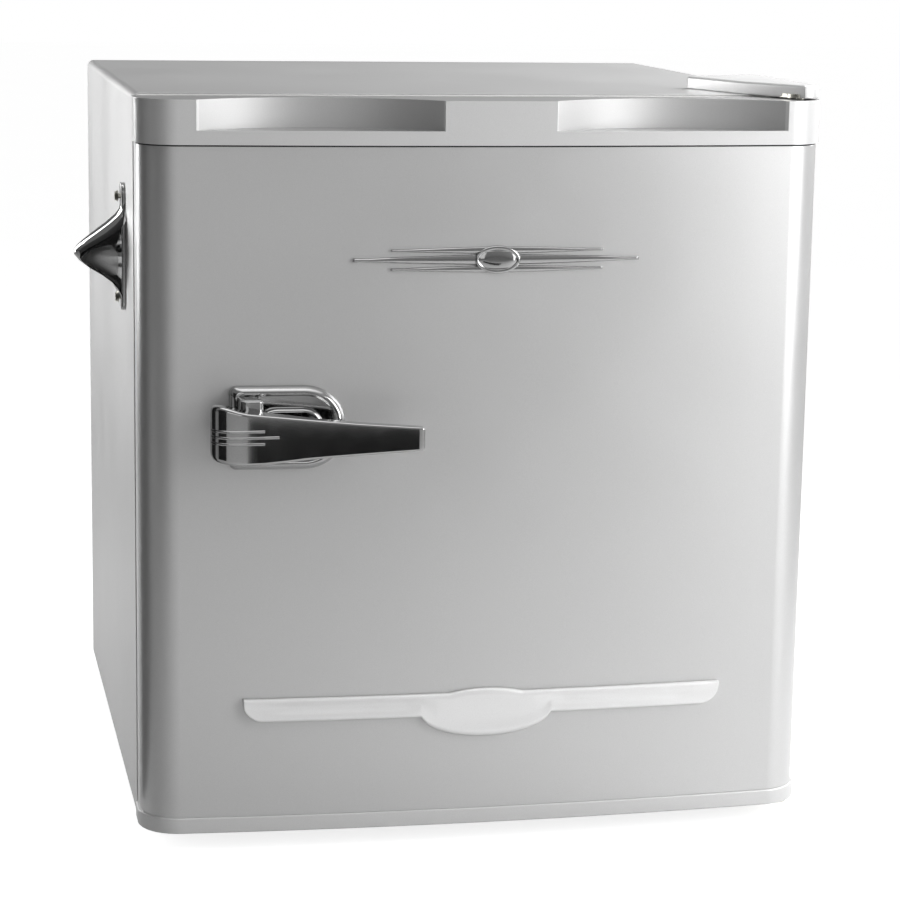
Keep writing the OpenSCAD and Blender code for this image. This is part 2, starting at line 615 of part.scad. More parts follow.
// Moulded frame on the front of the chiller box, with the flap's pin holes
module chiller_bezel() color("white") placed() difference() {
    along_y(bezel_y0, chiller_y0) translate([chiller_x, 0])
        round_rect([-chiller_w / 2 - 3, chiller_z0 - 1], [chiller_w / 2 + 3, chiller_z1 + 3], 10);
    along_y(bezel_y0 - 1, chiller_y0 + 1) translate([chiller_x, 0])
        sheet2d([bezel_w - chiller_w / 2, chiller_z0 + bezel_w], [chiller_w / 2 - bezel_w, chiller_z1 - bezel_w]);
    for (s = [-1, 1]) translate([chiller_x + s * flap_half, flap_pin_y, flap_pin_z]) rotate([0, 90, 0])
        cylinder(r = flap_pin_r + pin_gap, h = 14, center = true);
}

// Clear flap on the chiller box, on two moulded pins
module chiller_door() color("lightblue", 0.6) placed() difference() {
    union() {
        along_y(bezel_y0 + 2.5, bezel_y0 + 2.5 + flap_t) translate([chiller_x, 0])
            sheet2d([-flap_half, flap_z0], [flap_half, flap_pin_z]);
        translate([chiller_x, flap_pin_y, flap_pin_z]) rotate([0, 90, 0])
            cylinder(r = flap_t + 0.2, h = 2 * flap_half, center = true);
        for (s = [-1, 1]) translate([chiller_x + s * (flap_half + 1.5), flap_pin_y, flap_pin_z]) rotate([0, 90, 0])
            cylinder(r = flap_pin_r, h = 6, center = true);
        along_y(bezel_y0 - 3, bezel_y0 + 3) translate([chiller_x, 0]) sheet2d([-32, flap_z0], [32, flap_z0 + 5]);
    }
    along_y(bezel_y0 - 4, bezel_y0 + 0.5) translate([chiller_x, 0]) sheet2d([-30, flap_z0 - 1], [30, flap_z0 + 3]);
}

// Channels under the chiller box in which the drip tray slides
module drip_tray_rails() color("white") placed() for (s = [-1, 1]) {
    x0 = chiller_x + s * (tray_half + 1);
    difference() {
        block([min(x0 - s * 7, x0 + s * 3), tray_y0 + 6, tray_z1 - 6], [max(x0 - s * 7, x0 + s * 3), tray_y1, chiller_z0]);
        block([min(x0 - s * 8, x0), tray_y0, tray_z1 - 2.5], [max(x0 - s * 8, x0), tray_y1 - 3, tray_z1 + 1]);
    }
}

// Tray that catches meltwater
module drip_tray() color("aliceblue") placed() translate([chiller_x, 0, 0]) {
    difference() {
        block([-tray_half + 8, tray_y0, tray_z0], [tray_half - 8, tray_y1 - 6, tray_z1]);
        block([-tray_half + 8 + tray_wall, tray_y0 + tray_wall, tray_z0 + tray_wall],
            [tray_half - 8 - tray_wall, tray_y1 - 6 - tray_wall, tray_z1 + 1]);
    }
    for (s = [-1, 1]) block([min(s * (tray_half - 8), s * tray_half), tray_y0 + 4, tray_z1 - 2.4],
        [max(s * (tray_half - 8), s * tray_half), tray_y1 - 6, tray_z1]);
    difference() {
        block([-tray_half, tray_y0 - 4, tray_z0 - 3], [tray_half, tray_y0, tray_z1 + 2]);
        block([-30, tray_y0 - 5, tray_z0 - 4], [30, tray_y0 - 2, tray_z0 + 3]);
    }
}

// Welded wire shelf: a border rod, two cross rods and a row of wires
module wire_shelf() color("white") placed() {
    x = shelf_half;
    corner = 12;
    border = concat(arc([x - corner, shelf_y0 + corner], corner, -90, 0, 4), arc([x - corner, shelf_y1 - corner], corner, 0, 90, 4),
        arc([corner - x, shelf_y1 - corner], corner, 90, 180, 4), arc([corner - x, shelf_y0 + corner], corner, 180, 270, 4));
    loop_tube([for (p = border) [p[0], p[1], shelf_z]], shelf_r);
    for (k = [1, 2]) translate([-x, shelf_y0 + k * (shelf_y1 - shelf_y0) / 3, shelf_z]) rotate([0, 90, 0])
        cylinder(r = shelf_r * 0.8, h = 2 * x);
    count = 19;
    for (i = [1:count]) translate([-x + 2 * x * i / (count + 1), shelf_y0, shelf_z + shelf_r * 0.6]) rotate([-90, 0, 0])
        cylinder(r = wire_r, h = shelf_y1 - shelf_y0);
}

// Thermostat box on the right wall
module thermostat_housing() color("white") placed() difference() {
    block([stat_x0, stat_y0, stat_z0], [stat_x1, stat_y0 + stat_d, stat_z1]);
    block([stat_x0 + 2, stat_y0 + 2, stat_z0 + 2], [stat_x1 + 1, stat_y0 + stat_d - 2, stat_z1 - 2]);
    translate([stat_x0 - 1, knob_y, knob_z]) rotate([0, 90, 0]) cylinder(r = spindle_r + 1.2, h = 6);
    for (i = [0:5]) block([stat_x0 - 1, stat_y0 + 58 + i * 6, stat_z0 + 10], [stat_x0 + 3, stat_y0 + 61 + i * 6, stat_z1 - 10]);
}

// Switch inside the thermostat box, without its spindle
module thermostat_switch() color("silver") placed() difference() {
    block([stat_x0 + 6, knob_y - 16, knob_z - 16], [stat_x0 + 26, knob_y + 16, knob_z + 16]);
    translate([stat_x0 + 5, knob_y, knob_z]) rotate([0, 90, 0]) cylinder(r = spindle_r + pin_gap, h = 11);
}

// Knob with its spindle, pointer rib and finger flutes
module thermostat_knob() color("white") placed() translate([stat_x0 - 1, knob_y, knob_z]) rotate([0, -90, 0]) {
    difference() {
        union() {
            cylinder(r = knob_dia / 2, h = 3);
            translate([0, 0, 3]) cylinder(r1 = knob_dia / 2 - 2.5, r2 = knob_dia / 2 - 4, h = knob_h - 3);
        }
        for (i = [0:11]) rotate(30 * i + 15) translate([knob_dia / 2 - 1.6, 0, 3.6]) cylinder(r = 2.2, h = knob_h);
    }
    translate([0, 0, -16]) cylinder(r = spindle_r, h = 17);
    translate([-1, 0, knob_h - 1]) cube([2, knob_dia / 2 - 5, 2]);
}

// Sensing tube from the thermostat, out through a vent slot and along the chiller box's side
module sensor_tube() color("peru") placed() tube(route([
    [stat_x0 + 16, knob_y + 16, knob_z - 8], [stat_x0 + 16, stat_y0 + 83.5, knob_z - 8],
    [chiller_x + chiller_w / 2 + 1, stat_y0 + 83.5, knob_z - 8],
    [chiller_x + chiller_w / 2 + 1, chiller_y1 - 20, knob_z - 8]], 4, 4), 1);

// ---------------------------------------------------------------- hinges, cover and opener

function upper_hinge_holes() = [[half_w - 31, cab_y + 20], [half_w - 14, cab_y + 20], [half_w - 24, cab_y + 52]];
function lower_hinge_holes() = [[half_w - 40, cab_y + 14], [half_w - 14, cab_y + 14], [half_w - 27, cab_y + 30]];

// Steel plate and pin over the door, on the cabinet's top
module upper_hinge() color("gainsboro") placed() {
    difference() {
        translate([0, 0, body_h]) linear_extrude(hinge_t) {
            polygon([[pin_x - 9, pin_y], [half_w - 38, cab_y + 12], [half_w - 38, cab_y + 34], [half_w - 31, cab_y + 62],
                [half_w - 16, cab_y + 62], [half_w - 6, cab_y + 30], [half_w - 3.5, pin_y]]);
            translate([pin_x, pin_y]) circle(9);
        }
        for (p = upper_hinge_holes()) translate([p[0], p[1], body_h - 1]) cylinder(r = 2.2, h = 6);
    }
    translate([pin_x, pin_y, body_h - pin_l]) cylinder(r = pin_r, h = pin_l + 1);
}

// Screws of the upper hinge
module upper_hinge_screws() color("gainsboro") placed() for (p = upper_hinge_holes())
    translate([p[0], p[1], body_h + hinge_t]) screw(1.9, 18, 4, 2.4);

// Painted cover over the upper hinge
function cover_points(o) = let (r = 12 - o) concat(
    arc([pin_x, pin_y], r, -90, 0, 6), arc([pin_x, cab_y + 82], r, 0, 80, 6),
    arc([half_w - 54, cab_y + 66], 7 - o, 100, 195, 6), [[half_w - 43 + o, cab_y + 8]],
    arc([pin_x, pin_y], r, 205, 255, 4));
module hinge_cover() color("gainsboro") placed() difference() {
    translate([0, 0, body_h]) linear_extrude(cover_h) polygon(cover_points(0));
    translate([0, 0, body_h - 1]) linear_extrude(cover_h - 0.8) polygon(cover_points(1.8));
}

// Steel plate and pin under the door
module lower_hinge() color("gainsboro") placed() {
    difference() {
        translate([0, 0, foot_h - hinge_t]) linear_extrude(hinge_t) {
            polygon([[pin_x - 9, pin_y], [half_w - 48, cab_y + 4], [half_w - 48, cab_y + 38], [half_w - 4, cab_y + 38],
                [half_w - 3.5, pin_y]]);
            translate([pin_x, pin_y]) circle(9);
        }
        for (p = lower_hinge_holes()) translate([p[0], p[1], 0]) cylinder(r = 2.2, h = 40);
    }
    translate([pin_x, pin_y, foot_h - 1]) cylinder(r = pin_r, h = pin_l + 1);
}

// Screws of the lower hinge
module lower_hinge_screws() color("gainsboro") placed() for (p = lower_hinge_holes())
    translate([p[0], p[1], foot_h - hinge_t]) rotate([180, 0, 0]) screw(1.9, 14, 4, 2.4);

// Cast bottle opener on the left side: plate, and a hood with the mouth that catches a cap
function opener_holes() = [opener_z + opener_h / 2 - 9, opener_z - opener_h / 2 + 9];
module opener_hood(profile, root, tip) intersection() {
    along_y(-30, 30) polygon([for (p = profile) [-p[0] * opener_reach, p[1] * opener_h]]);
    translate([0, 0, -opener_h]) linear_extrude(2 * opener_h)
        polygon([[1, -root], [1, root], [-opener_reach * 0.6, (root + tip) / 2 + 1.5], [-opener_reach - 1, tip],
            [-opener_reach - 1, -tip], [-opener_reach * 0.6, -(root + tip) / 2 - 1.5]]);
}
module bottle_opener() color("silver") placed() {
    top = opener_h / 2;
    translate([-half_w, opener_y, opener_z]) difference() {
        union() {
            rotate([0, -90, 0]) linear_extrude(5) {
                round_rect([-top, -10], [top, 10], 8);
                round_rect([-top + 20, -20.6], [top - 18, 20.6], 8);
            }
            opener_hood([[0.1, 0.29], [0.2, 0.285], [0.62, 0.18], [0.88, 0.07], [1, 0], [0.99, -0.04], [0.7, -0.16],
                [0.2, -0.27], [0.1, -0.27]], 20, 10);
        }
        opener_hood([[0.22, 0.16], [0.55, 0.08], [0.82, -0.01], [0.72, -0.1], [0.7, -0.3], [0.19, -0.42], [0.16, 0.1]],
            15.5, 6);
        for (z = opener_holes()) translate([-12, 0, z - opener_z]) rotate([0, 90, 0]) cylinder(r = 2.2, h = 20);
        for (z = opener_holes()) translate([-12, 0, z - opener_z]) rotate([0, 90, 0]) cylinder(r = 4.2, h = 12 - 4.4);
    }
}

// Screws of the bottle opener
module opener_screws() color("gainsboro") placed() for (z = opener_holes())
    translate([-half_w - 4.4, opener_y, z]) rotate([0, -90, 0]) screw(1.9, 20, 3.8, 2.2);

// ---------------------------------------------------------------- door

// Painted steel skin: bulged front, round edges and a fold at the back
module door_skin() color("silver") placed() difference() {
    door_solid(0, skin_z0, skin_z1);
    door_solid(-sheet_t, skin_z0 - 1, skin_z1 + 1, door_back - sheet_t);
    block([-half_w + 14, door_back - 5, skin_z0 - 1], [half_w - 14, door_back + 1, skin_z1 + 1]);
    for (p = handle_screw_places()) translate([p[0], -5, p[1]]) rotate([-90, 0, 0]) cylinder(r = 2.2, h = 20);
}

// Foamed core of the door, with the ridge that fills the liner's dike
module door_foam() color("khaki") placed() difference() {
    union() {
        door_solid(-sheet_t, skin_z0, skin_z1, door_back - sheet_t);
        block([-half_w + 14, door_back - 2, skin_z0], [half_w - 14, door_back, skin_z1]);
        dike_ring(liner_t, door_back, dike_y - liner_t);
    }
    for (p = handle_screw_places()) translate([p[0], -5, p[1]]) rotate([-90, 0, 0]) cylinder(r = 2.4, h = 34);
}

// The raised ring on the door's inner side, taken in by o
module dike_ring(o, y0, y1) difference() {
    along_y(y0, y1) round_rect([o - dike_half, dike_z0 + o], [dike_half - o, dike_z1 - o], 12 - o);
    along_y(y0 - 1, y1 + 1) round_rect([-pan_half - o, dike_z0 + dike_w - o], [pan_half + o, dike_z1 - dike_w + o], 4 + o);
}

// White formed inner panel with its raised ring
module door_liner() color("white") placed() {
    difference() {
        union() {
            along_y(door_back, door_t) round_rect([4 - half_w, door_z0 + 4], [half_w - 4, door_z1 - 4], 6);
            along_y(door_back, pan_y) sheet2d([-pan_half - 1, dike_z0 + dike_w - 1], [pan_half + 1, dike_z1 - dike_w + 1]);
            dike_ring(0, door_back, dike_y);
        }
        dike_ring(liner_t, door_back - 1, dike_y - liner_t);
        along_y(door_back - 1, pan_y - liner_t) sheet2d([6 - pan_half, dike_z0 + dike_w + 6], [pan_half - 6, dike_z1 - dike_w - 6]);
    }
    for (s = [-1, 1], z = [upper_rack_z + 8, lower_rack_z + 8])
        translate([s * (pan_half - 1.3), dike_y - 9, z]) cube([2.6, 12, 5], center = true);
}

// Magnetic gasket with its bellows groove
module door_gasket() color("black") placed() difference() {
    gasket_ring(0, door_t, cab_y);
    gasket_ring(-3, door_t + 3, cab_y - 2.4, 9);
}
gasket_out = 15.5;
gasket_w = 12;
module gasket_ring(o, y0, y1, inner = 0) difference() {
    along_y(y0, y1) sheet2d([gasket_out + o - half_w, door_z0 + gasket_out + o], [half_w - gasket_out - o, door_z1 - gasket_out - o]);
    along_y(y0 - 1, y1 + 1) sheet2d([gasket_out + gasket_w - inner - half_w, door_z0 + gasket_out + gasket_w - inner],
        [half_w - gasket_out - gasket_w + inner, door_z1 - gasket_out - gasket_w + inner]);
}

// Top end cap with its two finger scoops and the seat of the hinge bush
scoop_r = (pow(scoop_w / 2, 2) + pow(scoop_d, 2)) / (2 * scoop_d);
module scoop(x, o) translate([x, scoop_d - scoop_r - 0.6, 0]) intersection() {
    translate([0, 0, door_z1 - scoop_h - o]) cylinder(r = scoop_r + o, h = scoop_h + 10, $fn = 96);
    translate([-scoop_w / 2 - o, scoop_r - scoop_d - 8, 0]) cube([scoop_w + 2 * o, scoop_d + 20, body_h + 20]);
}
module door_top_cap() color("silver") placed() difference() {
    door_solid(cap_lip, skin_z1, door_z1);
    difference() {
        door_solid(-2.5, skin_z1 - 1, door_z1 - 2.5, door_back - 2.5);
        scoop(scoop_left_x, 2.2);
        scoop(scoop_right_x, 2.2);
        translate([pin_x, pin_y, 0]) cylinder(r = bush_r + 3, h = body_h);
    }
    scoop(scoop_left_x, 0);
    scoop(scoop_right_x, 0);
    translate([pin_x, pin_y, door_z1 - bush_l]) cylinder(r = bush_r, h = bush_l + 1);
}

// Bottom end cap with the seat of the lower bush
module door_bottom_cap() color("silver") placed() difference() {
    door_solid(cap_lip, door_z0, skin_z0);
    difference() {
        door_solid(-2.5, door_z0 + 2.5, skin_z0 + 1, door_back - 2.5);
        translate([pin_x, pin_y, 0]) cylinder(r = bush_r + 3, h = body_h);
    }
    translate([pin_x, pin_y, door_z0 - 1]) cylinder(r = bush_r, h = bush_l + 1);
}

// Plastic bushes in the end caps
module bush(z) translate([pin_x, pin_y, z]) difference() {
    cylinder(r = bush_r - pin_gap, h = bush_l);
    translate([0, 0, -1]) cylinder(r = pin_r + pin_gap, h = bush_l + 2);
}
module upper_bush() color("white") placed() bush(door_z1 - bush_l);
module lower_bush() color("white") placed() bush(door_z0);

// Chromed base plate of the handle: straight at the left, round at the right
handle_head_r = 3.6;
function handle_screw_places() = [[plate_x0 + 14, lever_z + 18], [plate_x0 + 14, lever_z - 18]];
module plate_outline(o) intersection() {
    round_rect([plate_x0 + o, lever_z - base_plate_h / 2 + o], [plate_x0 + plate_l + 40, lever_z + base_plate_h / 2 - o], 4);
    union() {
        sheet2d([plate_x0, lever_z - base_plate_h], [plate_x0 + plate_l - base_plate_h * 0.5, lever_z + base_plate_h]);
        translate([plate_x0 + plate_l - base_plate_h * 0.5, lever_z]) circle(base_plate_h / 2 - o);
    }
}
module handle_base() color("silver") placed() difference() {
    union() {
        on_door(plate_t - rim_h) plate_outline(0);
        on_door(plate_t) difference() {
            plate_outline(0);
            plate_outline(4);
        }
        along_y(-lever_back, 2 - plate_t) sheet2d([plate_x0 + 5, lever_z - 10], [plate_x0 + 30, lever_z + 10]);
    }
    for (p = handle_screw_places()) translate([p[0], -40, p[1]]) rotate([-90, 0, 0]) cylinder(r = 2.1, h = 60);
}

// Chromed lever: a round-ended block with three ribs and a tapering blade
module handle_lever() color("silver") placed() {
    front = 0.6 - handle_reach;
    back = -lever_back;
    difference() {
        union() {
            hull() {
                for (s = [-1, 1]) {
                    translate([lever_x0 + 15, back - 2, lever_z + s * 13]) sphere(3, $fn = 24);
                    translate([lever_x0 + 17, front + 19, lever_z + s * 13]) sphere(3, $fn = 24);
                }
                translate([lever_x0 + 16, front + 16, lever_z - 15]) cylinder(r = 16, h = 30, $fn = 48);
                translate([lever_x0 + 34, front, lever_z - 15.5]) cube([8, back - front, 31]);
            }
            hull() {
                translate([lever_x0 + 40, front, lever_z - 15.5]) cube([1, 9, 31]);
                translate([lever_x0 + lever_l - 3, front + 1.5, lever_z - 8]) cube([3, 5, 16]);
            }
        }
        translate([lever_x0 - 5, back, lever_z - 40]) cube([100, 60, 80]);
    }
    for (i = [-1:1]) translate([lever_x0 + 16, 0, lever_z + i * 3.8 - 0.7]) rib(i == 0 ? 28 : 18, -handle_reach);
}
module rib(l, front) difference() {
    union() {
        translate([0, front + 16.6, 0]) cylinder(r = 16.6, h = 1.4);
        translate([0, front, 0]) cube([l, 4, 1.4]);
    }
    translate([-30, front + 12, -1]) cube([80, 60, 4]);
    translate([0.01, front + 2, -1]) cube([60, 30, 4]);
}

// Screws that hold the handle to the door
module handle_screws() color("gainsboro") placed() for (p = handle_screw_places())
    translate([p[0], bulge_y(abs(p[0]) - handle_head_r) - plate_t + rim_h, p[1]]) rotate([90, 0, 0]) {
        translate([0, 0, -24]) cylinder(r = 1.9, h = 24);
        cylinder(r = handle_head_r, h = 1.6);
    }

// Plain chromed badge: three tapering speed lines through a small oval
module front_badge() color("silver") placed() on_door(2.4) translate([badge_x, badge_z]) {
    for (i = [-1:1]) polygon([[-badge_w / 2 + abs(i) * 26, i * 4.2], [0, i * 4.2 - 1.3], [badge_w / 2 - abs(i) * 26, i * 4.2],
        [0, i * 4.2 + 1.3]]);
    polygon([for (i = [0:31]) [15 * cos(i * 360 / 32), 9 * sin(i * 360 / 32)]]);
}

// Silver trim low on the door: a bar with round lower corners and a plain oval in the middle
module lower_trim() color("whitesmoke") placed() on_door(trim_t) translate([trim_x, trim_z]) {
    h = trim_h / 2;
    r = 13;
    polygon(concat([[-trim_l / 2, h]], arc([r - trim_l / 2, r - h], r, 180, 270, 8),
        arc([trim_l / 2 - r, r - h], r, 270, 360, 8), [[trim_l / 2, h]]));
    polygon([for (i = [0:47]) [oval_half_w * cos(i * 7.5), oval_half_h * sin(i * 7.5) - oval_drop]]);
}

// Moulded rack on the door: floor, ends, front rail and its post ribs
module rack(z, h, wall_h) {
    half = pan_half - 3;
    y0 = pan_y + 0.4;
    difference() {
        block([-half, y0, z], [half, rack_y1, z + h]);
        block([2.5 - half, y0 + 2.5, z + 2.5], [half - 2.5, rack_y1 - 2.5, z + h + 1]);
        if (wall_h < h - 20) block([14 - half, rack_y1 - 5, z + wall_h], [half - 14, rack_y1 + 1, z + h - 16]);
        along_x(-half - 1, half + 1) polygon([[y0 + 22, z + h + 1], [rack_y1 - 14, z + h * 0.62],
            [rack_y1 - 14, z + h + 1]]);
    }
    for (s = [-1, 1]) translate([s * (half + 1.2), dike_y - 9, z + 12.5]) cube([2.6, 12, 4], center = true);
}
module upper_door_rack() color("white") placed() rack(upper_rack_z, upper_rack_h, upper_rack_h);
module lower_door_rack() color("white") placed() rack(lower_rack_z, lower_rack_bar_z - lower_rack_z, 46);

outer_shell();
base_pan();
back_panel();
back_panel_screws();
insulation_foam();
inner_liner();
compressor_tray();
rear_feet();
foot_inserts();
leveling_foot_left();
leveling_foot_right();
compressor();
compressor_grommets();
compressor_bolts();
relay_cover();
cord_gland();
filter_drier();
discharge_pipe();
link_pipe();
drier_pipe();
condenser_coil_left();
condenser_coil_right();
capillary_tube();
suction_pipe();
evaporator();
evaporator_hangers();
chiller_bezel();
chiller_door();
drip_tray_rails();
drip_tray();
wire_shelf();
thermostat_housing();
thermostat_switch();
thermostat_knob();
sensor_tube();
upper_hinge();
upper_hinge_screws();
hinge_cover();
lower_hinge();
lower_hinge_screws();
bottle_opener();
opener_screws();
door_skin();
door_foam();
door_liner();
door_gasket();
door_top_cap();
door_bottom_cap();
upper_bush();
lower_bush();
handle_base();
handle_lever();
handle_screws();
front_badge();
lower_trim();
upper_door_rack();
lower_door_rack();
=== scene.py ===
"""Looks of the retro mini fridge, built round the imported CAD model.

Shapes are worked out in millimetres in the cabinet's own frame: x from the cabinet's middle to its right side,
y from the door's front to the back, z up from the floor. at() turns such a place into the row frame in metres.
"""
import math
from math import cos, sin, pi

import bmesh
import bpy
from mathutils import Matrix, Vector

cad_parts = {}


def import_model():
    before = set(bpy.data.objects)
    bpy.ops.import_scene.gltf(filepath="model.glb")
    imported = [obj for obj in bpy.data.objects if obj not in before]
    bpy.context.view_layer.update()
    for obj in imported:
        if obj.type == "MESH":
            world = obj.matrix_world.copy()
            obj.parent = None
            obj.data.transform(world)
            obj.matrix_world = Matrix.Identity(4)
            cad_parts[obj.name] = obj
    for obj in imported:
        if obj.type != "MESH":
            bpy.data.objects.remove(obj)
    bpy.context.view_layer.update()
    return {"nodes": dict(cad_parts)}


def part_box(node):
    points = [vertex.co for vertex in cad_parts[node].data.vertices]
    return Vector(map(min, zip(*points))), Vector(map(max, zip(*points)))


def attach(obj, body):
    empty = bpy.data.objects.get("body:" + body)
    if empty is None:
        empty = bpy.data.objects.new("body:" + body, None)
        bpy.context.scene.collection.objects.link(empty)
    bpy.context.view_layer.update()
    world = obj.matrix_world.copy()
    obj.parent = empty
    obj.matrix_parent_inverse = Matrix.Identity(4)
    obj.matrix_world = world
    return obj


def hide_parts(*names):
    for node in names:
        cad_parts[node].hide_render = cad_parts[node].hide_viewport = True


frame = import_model()
MM = 0.001

# ---------------------------------------------------------------- places taken from the frame

shell_lo, shell_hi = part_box("outer_shell")
skin_lo, skin_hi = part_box("door_skin")
top_cap_lo, top_cap_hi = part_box("door_top_cap")
bottom_cap_lo, bottom_cap_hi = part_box("door_bottom_cap")
plate_lo, plate_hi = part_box("handle_base")
lever_lo, lever_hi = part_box("handle_lever")
trim_lo, trim_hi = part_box("lower_trim")
badge_lo, badge_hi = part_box("front_badge")
cover_lo, cover_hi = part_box("hinge_cover")
gasket_lo, gasket_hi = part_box("door_gasket")
opener_lo, opener_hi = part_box("bottle_opener")

MIDDLE_X = (shell_lo.x + shell_hi.x) / 2
FRONT_Y = skin_lo.y


def at(x, y, z):
    """A place in the cabinet's frame in millimetres, as a point of the row frame in metres."""
    return Vector((MIDDLE_X + x * MM, FRONT_Y + y * MM, z * MM))


def local_x(v):
    return (v - MIDDLE_X) / MM


def local_y(v):
    return (v - FRONT_Y) / MM


HALF_W = (shell_hi.x - shell_lo.x) / 2 / MM
TOP_Z = shell_hi.z / MM
FOOT_Z = shell_lo.z / MM
CAB_Y = local_y(shell_lo.y)
BACK_Y = local_y(shell_hi.y)
DOOR_Z0, DOOR_Z1 = bottom_cap_lo.z / MM, top_cap_hi.z / MM
SKIN_Z0, SKIN_Z1 = skin_lo.z / MM, skin_hi.z / MM
DOOR_BACK = local_y(skin_hi.y)
DOOR_BULGE = 7
DOOR_EDGE_R = 26
CAP_LIP = 1.5
SKIN_SHEET = 0.9
# Height of the black band under the top cap, a painted shadow line.
CAP_SHADOW_BAND = 1.0
SCOOP_PLACES = (-112.5, 121.5)
SCOOP_WIDTH, SCOOP_DEPTH, SCOOP_DROP = 162, 32, 19
SHELL_R, SHELL_SHEET = 5.0, 0.8


# ---------------------------------------------------------------- materials

class Nodes:
    """A small helper round a material's node tree."""

    def __init__(self, name, **inputs):
        self.material = bpy.data.materials.new(name)
        self.material.use_nodes = True
        self.tree = self.material.node_tree
        self.shader = self.tree.nodes["Principled BSDF"]
        for key, value in inputs.items():
            self.shader.inputs[key.replace("_", " ")].default_value = value
        self.coords = self.tree.nodes.new("ShaderNodeTexCoord")

    def add(self, kind, **values):
        node = self.tree.nodes.new(kind)
        for key, value in values.items():
            if key in node.inputs:
                node.inputs[key].default_value = value
            else:
                setattr(node, key, value)
        return node

    def link(self, a, b):
        self.tree.links.new(a, b)

    def noise(self, scale, detail=3.0, rough=0.55, stretch=None):
        node = self.add("ShaderNodeTexNoise", Scale=scale, Detail=detail, Roughness=rough)
        source = self.coords.outputs["Object"]
        if stretch:
            mapping = self.add("ShaderNodeMapping", Scale=stretch)
            self.link(source, mapping.inputs["Vector"])
            source = mapping.outputs["Vector"]
        self.link(source, node.inputs["Vector"])
        return node.outputs["Fac"]

    def ramp(self, source, low, high, at_low=0.0, at_high=1.0):
        node = self.add("ShaderNodeMapRange")
        for key, value in (("From Min", at_low), ("From Max", at_high), ("To Min", low), ("To Max", high)):
            node.inputs[key].default_value = value
        self.link(source, node.inputs["Value"])
        return node.outputs["Result"]

    def tint(self, source, dark, light):
        node = self.add("ShaderNodeMix", data_type="RGBA")
        node.inputs[6].default_value = (*dark, 1)
        node.inputs[7].default_value = (*light, 1)
        self.link(source, node.inputs[0])
        self.link(node.outputs[2], self.shader.inputs["Base Color"])
        return node.outputs[2]

    def bump(self, source, height, distance=1.0):
        node = self.add("ShaderNodeBump", Strength=height, Distance=distance * MM)
        self.link(source, node.inputs["Height"])
        self.link(node.outputs["Normal"], self.shader.inputs["Normal"])


def grey(v, warm=0.0):
    return (v + warm, v, v - warm)


def paint(name, tone, metallic, rough, peel=0.05, coat=0.25):
    """Satin sprayed paint: fine metal flake, orange peel, and slightly uneven gloss."""
    n = Nodes(name, Metallic=metallic, Coat_Weight=coat, Coat_Roughness=0.22)
    flake = n.noise(2600, 2)
    n.tint(n.ramp(flake, 0, 1, 0.35, 0.65), grey(tone * 0.965), grey(tone * 1.03))
    n.link(n.ramp(n.noise(9, 4), rough - 0.03, rough + 0.03, 0.3, 0.7), n.shader.inputs["Roughness"])
    n.bump(n.noise(420, 3), peel, 0.12)
    return n.material


def moulded(name, dark, light, rough, grain=900, depth=0.08, spread=0.04, **inputs):
    """Moulded plastic or rubber with a fine spark-eroded grain."""
    n = Nodes(name, **inputs)
    n.tint(n.ramp(n.noise(14, 4), 0, 1, 0.3, 0.7), dark, light)
    n.link(n.ramp(n.noise(60, 3), rough - spread, rough + spread, 0.3, 0.7), n.shader.inputs["Roughness"])
    n.bump(n.noise(grain, 3), depth, 0.2)
    return n.material


def metal(name, dark, light, rough, scratch=(40, 40, 40), depth=0.02, **inputs):
    """Bare or plated metal with faint polishing marks."""
    n = Nodes(name, Metallic=1.0, **inputs)
    marks = n.noise(30, 5, stretch=scratch)
    n.tint(n.ramp(marks, 0, 1, 0.3, 0.7), dark, light)
    n.link(n.ramp(n.noise(35, 4), rough * 0.75, rough * 1.3, 0.3, 0.7), n.shader.inputs["Roughness"])
    n.bump(marks, depth, 0.1)
    return n.material


DOOR_PAINT = paint("door_paint", 0.63, 0.55, 0.36)
CABINET_PAINT = paint("cabinet_paint", 0.60, 0.55, 0.38)
CAP_PAINT = paint("cap_paint", 0.64, 0.25, 0.42, peel=0.08)
# Darker paint for the cap's top faces: painted shade standing in for the grazing top seen in shadow.
CAP_TOP_PAINTED_SHADE = paint("cap_top_painted_shade", 0.36, 0.45, 0.42, peel=0.08)
# Glossier paint for the scoop walls; its lower tone than the cap is painted shade in the recesses.
SCOOP_SHADED_PAINT = paint("scoop_shaded_paint", 0.52, 0.45, 0.50, peel=0.03, coat=0.0)
TRIM_PAINT = paint("trim_paint", 0.86, 0.25, 0.30, peel=0.02, coat=0.5)
COVER_PAINT = paint("cover_paint", 0.64, 0.30, 0.42, peel=0.08)
CHROME = metal("chrome", grey(0.46), grey(0.52), 0.075, depth=0.004)
ZINC = metal("zinc_plate", (0.55, 0.55, 0.50), (0.72, 0.70, 0.62), 0.32, (200, 200, 200), 0.05)
ALUMINIUM = metal("rolled_aluminium", grey(0.66), grey(0.80), 0.34, (4, 220, 4), 0.12)
COPPER = metal("copper", (0.55, 0.24, 0.13), (0.78, 0.40, 0.24), 0.28, (60, 60, 60), 0.06)
BLACK_PAINT = moulded("black_paint", grey(0.012), grey(0.022), 0.32, 300, 0.04, Coat_Weight=0.4)
BLACK_PLASTIC = moulded("black_plastic", grey(0.012), grey(0.03), 0.5)
RUBBER = moulded("black_rubber", grey(0.010), grey(0.022), 0.66, 700, 0.12)
LINER = moulded("liner_sheet", (0.86, 0.86, 0.85), (0.89, 0.89, 0.88), 0.34, 160, 0.008, spread=0.012)
WHITE_PLASTIC = moulded("white_plastic", (0.78, 0.78, 0.76), (0.84, 0.84, 0.82), 0.38)
WIRE_COAT = moulded("wire_coating", (0.80, 0.80, 0.79), (0.86, 0.86, 0.85), 0.30, 120, 0.1)
FOAM = moulded("foam", (0.62, 0.50, 0.24), (0.78, 0.66, 0.38), 0.85, 160, 0.9)
